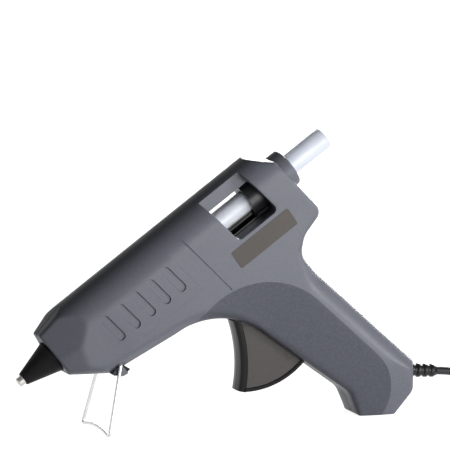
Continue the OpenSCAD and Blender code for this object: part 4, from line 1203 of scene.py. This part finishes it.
def make_stand():
    top = np.array([STAND[0], LEG_Y, STAND[1]])
    foot_x = STAND[0] - (STAND[1] - WIRE_D / 2) * STAND_LEAN
    foot = np.array([foot_x, FOOT_Y, WIRE_D / 2])
    bend = 1.2 * WIRE_D
    reach = bend * unit(foot - top)
    bar = []
    for k in np.linspace(1, -1, 25):
        rise = BAR_RISE * (1 - k * k)
        bar.append(np.array([foot_x + rise * STAND_LEAN, k * FOOT_Y, WIRE_D / 2 + rise]))
    upper = curved(top - np.array([0, bend, 0]), top, top + reach, 8)
    ankle = curved(foot - reach, foot, bar[2], 8)
    side = [np.array([STAND[0], LUG_IN + 0.5, STAND[1]])] + upper + ankle
    flip = np.array([1, -1, 1])
    route = side + bar[3:-3] + [p * flip for p in reversed(side)]
    curve_piece("stand_wire", route, WIRE_D, wire_look, "stand", ["wire_stand"], 5)


CORD_D = 4.2
FREE_ROUTE = [(120.74, 0, 18.61), (124.92, 0, 18.24), (129.5, 0, 17.5), (135, 0, 15.7), (139, 0, 13.1),
              (143, 0, 10.1), (147, 0, 7.2), (151, 0, 5), (155, 0, 3.6), (159, 0, 3), (163, 0, 3)]
COIL_PITCH, COIL_IN, LAYER_TURNS, LAYERS, CLIMB, COIL_STEPS = 4.7, 16.9, 2, 4, 0.25, 24
COIL_OUT = COIL_IN + COIL_PITCH * LAYER_TURNS
COIL_Z = FREE_ROUTE[-1][2]
COIL_TOP = COIL_Z + COIL_PITCH * (LAYERS - 1)
LEAD_R, LEAD_TURN = 18.0, math.radians(75)
LEAD_AT = np.array(FREE_ROUTE[-1]) + (CORD_D, 0, 0)
COIL_MID = np.array([LEAD_AT[0] + (COIL_OUT + LEAD_R) * math.sin(LEAD_TURN),
                     (COIL_OUT + LEAD_R) * math.cos(LEAD_TURN) - LEAD_R])
COIL_START = math.radians(270) - LEAD_TURN
COIL_END = 7 + LEAD_TURN / FULL_TURN
PLUG_H, REST_GAP = 13.6, 0.3
PLUG_Z = COIL_TOP + CORD_D / 2 + REST_GAP + PLUG_H / 2
TAIL_R, TAIL_RISE, TAIL_TURN = 17.0, 0.18, math.radians(205)


def coil_r(t):
    return COIL_IN + COIL_PITCH * abs(LAYER_TURNS - t % (2 * LAYER_TURNS))


END_R = coil_r(COIL_END)
TAIL_MID = COIL_MID + (0, TAIL_R - END_R)
PLUG_AT = np.array([TAIL_MID[0] + TAIL_R * math.sin(TAIL_TURN) + CORD_D * math.cos(TAIL_TURN),
                    TAIL_MID[1] - TAIL_R * math.cos(TAIL_TURN) + CORD_D * math.sin(TAIL_TURN), PLUG_Z])


def lift(angle):
    """Rise of the tail over the turns, by its angle from where it leaves the spiral."""
    before = FULL_TURN * TAIL_RISE * END_R / TAIL_R
    return (PLUG_Z - COIL_TOP) * smooth_step((angle + before) / (TAIL_TURN + before))


def coil_point(t):
    a = COIL_START + FULL_TURN * t
    climbs = [min(1, max(0, (t - k * LAYER_TURNS + CLIMB) / (2 * CLIMB))) for k in range(1, LAYERS)]
    rise = lift(FULL_TURN * (t - COIL_END) * END_R / TAIL_R)
    return (COIL_MID[0] + coil_r(t) * math.cos(a), COIL_MID[1] + coil_r(t) * math.sin(a),
            COIL_Z + COIL_PITCH * sum(climbs) + rise)


def cord_route():
    lead = [LEAD_AT]
    for a in LEAD_TURN * np.arange(1, 5) / 5:
        lead.append(LEAD_AT + LEAD_R * np.array([math.sin(a), math.cos(a) - 1, 0]))
    coil = [coil_point(k / COIL_STEPS) for k in range(int(COIL_END * COIL_STEPS) + 1)]
    tail = []
    for a in np.linspace(0, TAIL_TURN, 13):
        x, y = TAIL_MID[0] + TAIL_R * math.sin(a), TAIL_MID[1] - TAIL_R * math.cos(a)
        tail.append((x, y, COIL_TOP + lift(a)))
    return smooth_line(FREE_ROUTE + lead + coil + tail + [PLUG_AT], 3)


BOOT_Z, BOOT_TILT = 20.0, math.radians(5)
BOOT_RIBS, BOOT_PITCH, BOOT_R, BOOT_CORE_R, BOOT_NARROWING = 4, 3.75, 3.6, 2.75, 0.1
TIE_NEAR, TIE_FAR, TIE_LOW, TIE_HIGH, TIE_R, TIE_THICK, TIE_HALF = 15.77, 27.43, 0.05, 20.05, 2.2, 0.55, 2.85


def make_boot():
    """Ribbed strain relief, which narrows towards the cord."""
    profile = [(-7.9, 2.2), (-7.9, 2.8), (0.4, 2.8)]
    for i in range(BOOT_RIBS):
        r, s = BOOT_R - BOOT_NARROWING * i, 1 + BOOT_PITCH * i
        profile += [(s, BOOT_CORE_R), (s + 0.15, r - 0.35), (s + 0.55, r), (s + 1.92, r),
                    (s + 2.32, r - 0.35), (s + 2.47, BOOT_CORE_R)]
    profile += [(15.6, 2.6), (16, 2.3), (16, 2.2)]
    origin = np.array([BUTT_LOW[0], 0, BOOT_Z])
    axis = np.array([math.cos(BOOT_TILT), 0, -math.sin(BOOT_TILT)])
    turned_piece("boot", profile, boot_look, "strain_relief", "housing", origin, axis, 50)


def make_tie():
    """Flat strap round the turns, with soft corners."""
    corners = ((TIE_NEAR, TIE_LOW), (TIE_NEAR, TIE_HIGH), (TIE_FAR, TIE_HIGH), (TIE_FAR, TIE_LOW))
    outer, _ = rounded([(x, z, TIE_R) for x, z in corners], 1.2)
    inner = outer + TIE_THICK * normals_in(outer)
    bm = bmesh.new()
    lines = [(outer, -TIE_HALF), (outer, TIE_HALF), (inner, TIE_HALF), (inner, -TIE_HALF)]
    rows = [side_row(bm, line, y) for line, y in lines]
    bridge(bm, rows + rows[:1], caps=False)
    face_out(bm)
    bm.transform(Matrix.Translation((*COIL_MID, 0)) @ Matrix.Rotation(COIL_START + math.pi, 4, "Z"))
    piece = finish_mesh("cord_strap", bm, [black_look], "housing", ["coil_tie"], 40)
    round_edges = piece.modifiers.new("edges", "BEVEL")
    round_edges.width = 0.15 * MM
    round_edges.segments = 2
    return piece


PLUG_NECK, PLUG_LEN, PLUG_W, PLUG_SOFT, PIN_GAP = 12.0, 34.0, 35.0, 2.2, 18.6
PLUG_FACE = PLUG_NECK + PLUG_LEN
PLUG_AXIS = np.array([1.0, 0, 0])
PLUG_PLACE = Matrix.Translation(PLUG_AT) @ Matrix.Rotation(TAIL_TURN, 4, "Z")
PIN = [(-1, 0), (-1, 1.95), (9.5, 1.95), (9.6, 2.0), (17.6, 2.0), (18.5, 1.7), (18.95, 1.1), (19, 0)]
PIN_MATERIALS = [1, 1, 0, 0, 0, 0, 0, 0]


def make_plug_body():
    """Flat two-pole plug with a ribbed neck, lying on the coil."""
    wide = PLUG_W / 2
    shape, _ = rounded([(PLUG_FACE, wide, 2), (PLUG_FACE, -wide, 2), (PLUG_FACE - 14, -wide, 8),
                        (PLUG_NECK, -6, 3), (PLUG_NECK, 6, 3), (PLUG_FACE - 14, wide, 8)], 1.2)
    bm = bmesh.new()
    inward = normals_in(shape)
    rows = []
    for side in (-1, 1):
        for a in np.linspace(0, math.pi / 2, 7)[::-side]:
            cut = PLUG_SOFT * (1 - math.cos(a))
            z = side * (PLUG_H / 2 - PLUG_SOFT + PLUG_SOFT * math.sin(a))
            rows.append([bm.verts.new((p[0], p[1], z)) for p in shape + cut * inward])
    bridge(bm, rows)
    face_out(bm)
    neck = [(0.1, 2.15), (0.1, 2.7)]
    for i in range(4):
        s, r = 1.2 + 2.6 * i, 2.9 + 0.18 * i
        neck += [(s, r - 0.3), (s + 0.3, r + 0.1), (s + 1.4, r + 0.1), (s + 1.7, r - 0.3)]
    neck += [(13.5, 3.5), (13.5, 2.15)]
    revolve(bm, neck, np.zeros(3), PLUG_AXIS)
    bm.transform(PLUG_PLACE)
    return finish_mesh("plug_moulding", bm, [plug_look], "housing", ["plug_body"], 40)


def make_plug_pins():
    """Two pins, sleeved near the plug."""
    pins = bmesh.new()
    for y in (-PIN_GAP / 2, PIN_GAP / 2):
        revolve(pins, PIN, np.array([PLUG_FACE, y, 0]), PLUG_AXIS, 32, PIN_MATERIALS)
    pins.transform(PLUG_PLACE)
    return finish_mesh("plug_contacts", pins, [pin_look, plug_look], "housing", ["plug_pins"], 40)


def make_cord():
    route = cord_route()
    nodes = ["power_cord", "cord_coil"]
    cord = curve_piece("mains_cord", route, CORD_D, cord_look, "housing", nodes)
    pieces = [make_tie(), make_plug_body(), make_plug_pins()]


make_cord()
make_boot()
make_hot_end()
make_stick()
make_trigger_core()
make_trigger_rim()
make_stand()

# CAD pieces that stay as they are, with their finish
KEPT = {
    "shell_screws": steel_look, "rating_plate": plate_look, "front_bush": brown_look,
    "melt_chamber": bright_look, "ptc_heater": ceramic_look, "electrode_plates": brass_look,
    "heater_wedge": ceramic_look, "inlet_sleeve": red_look, "sleeve_clamp": steel_look,
    "feed_carriage": black_look, "carriage_pin": steel_look, "grip_jaw": steel_look,
    "jaw_pin": steel_look, "trigger_pin": steel_look, "return_spring": steel_look,
    "cord_tail": cord_look, "cord_clamp": black_look, "clamp_screws": steel_look,
    "live_lead": brown_lead_look, "neutral_lead": blue_lead_look, "wire_crimps": brass_look}
for node, look in KEPT.items():
    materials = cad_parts[node].data.materials
    materials.clear()
    materials.append(look.material)
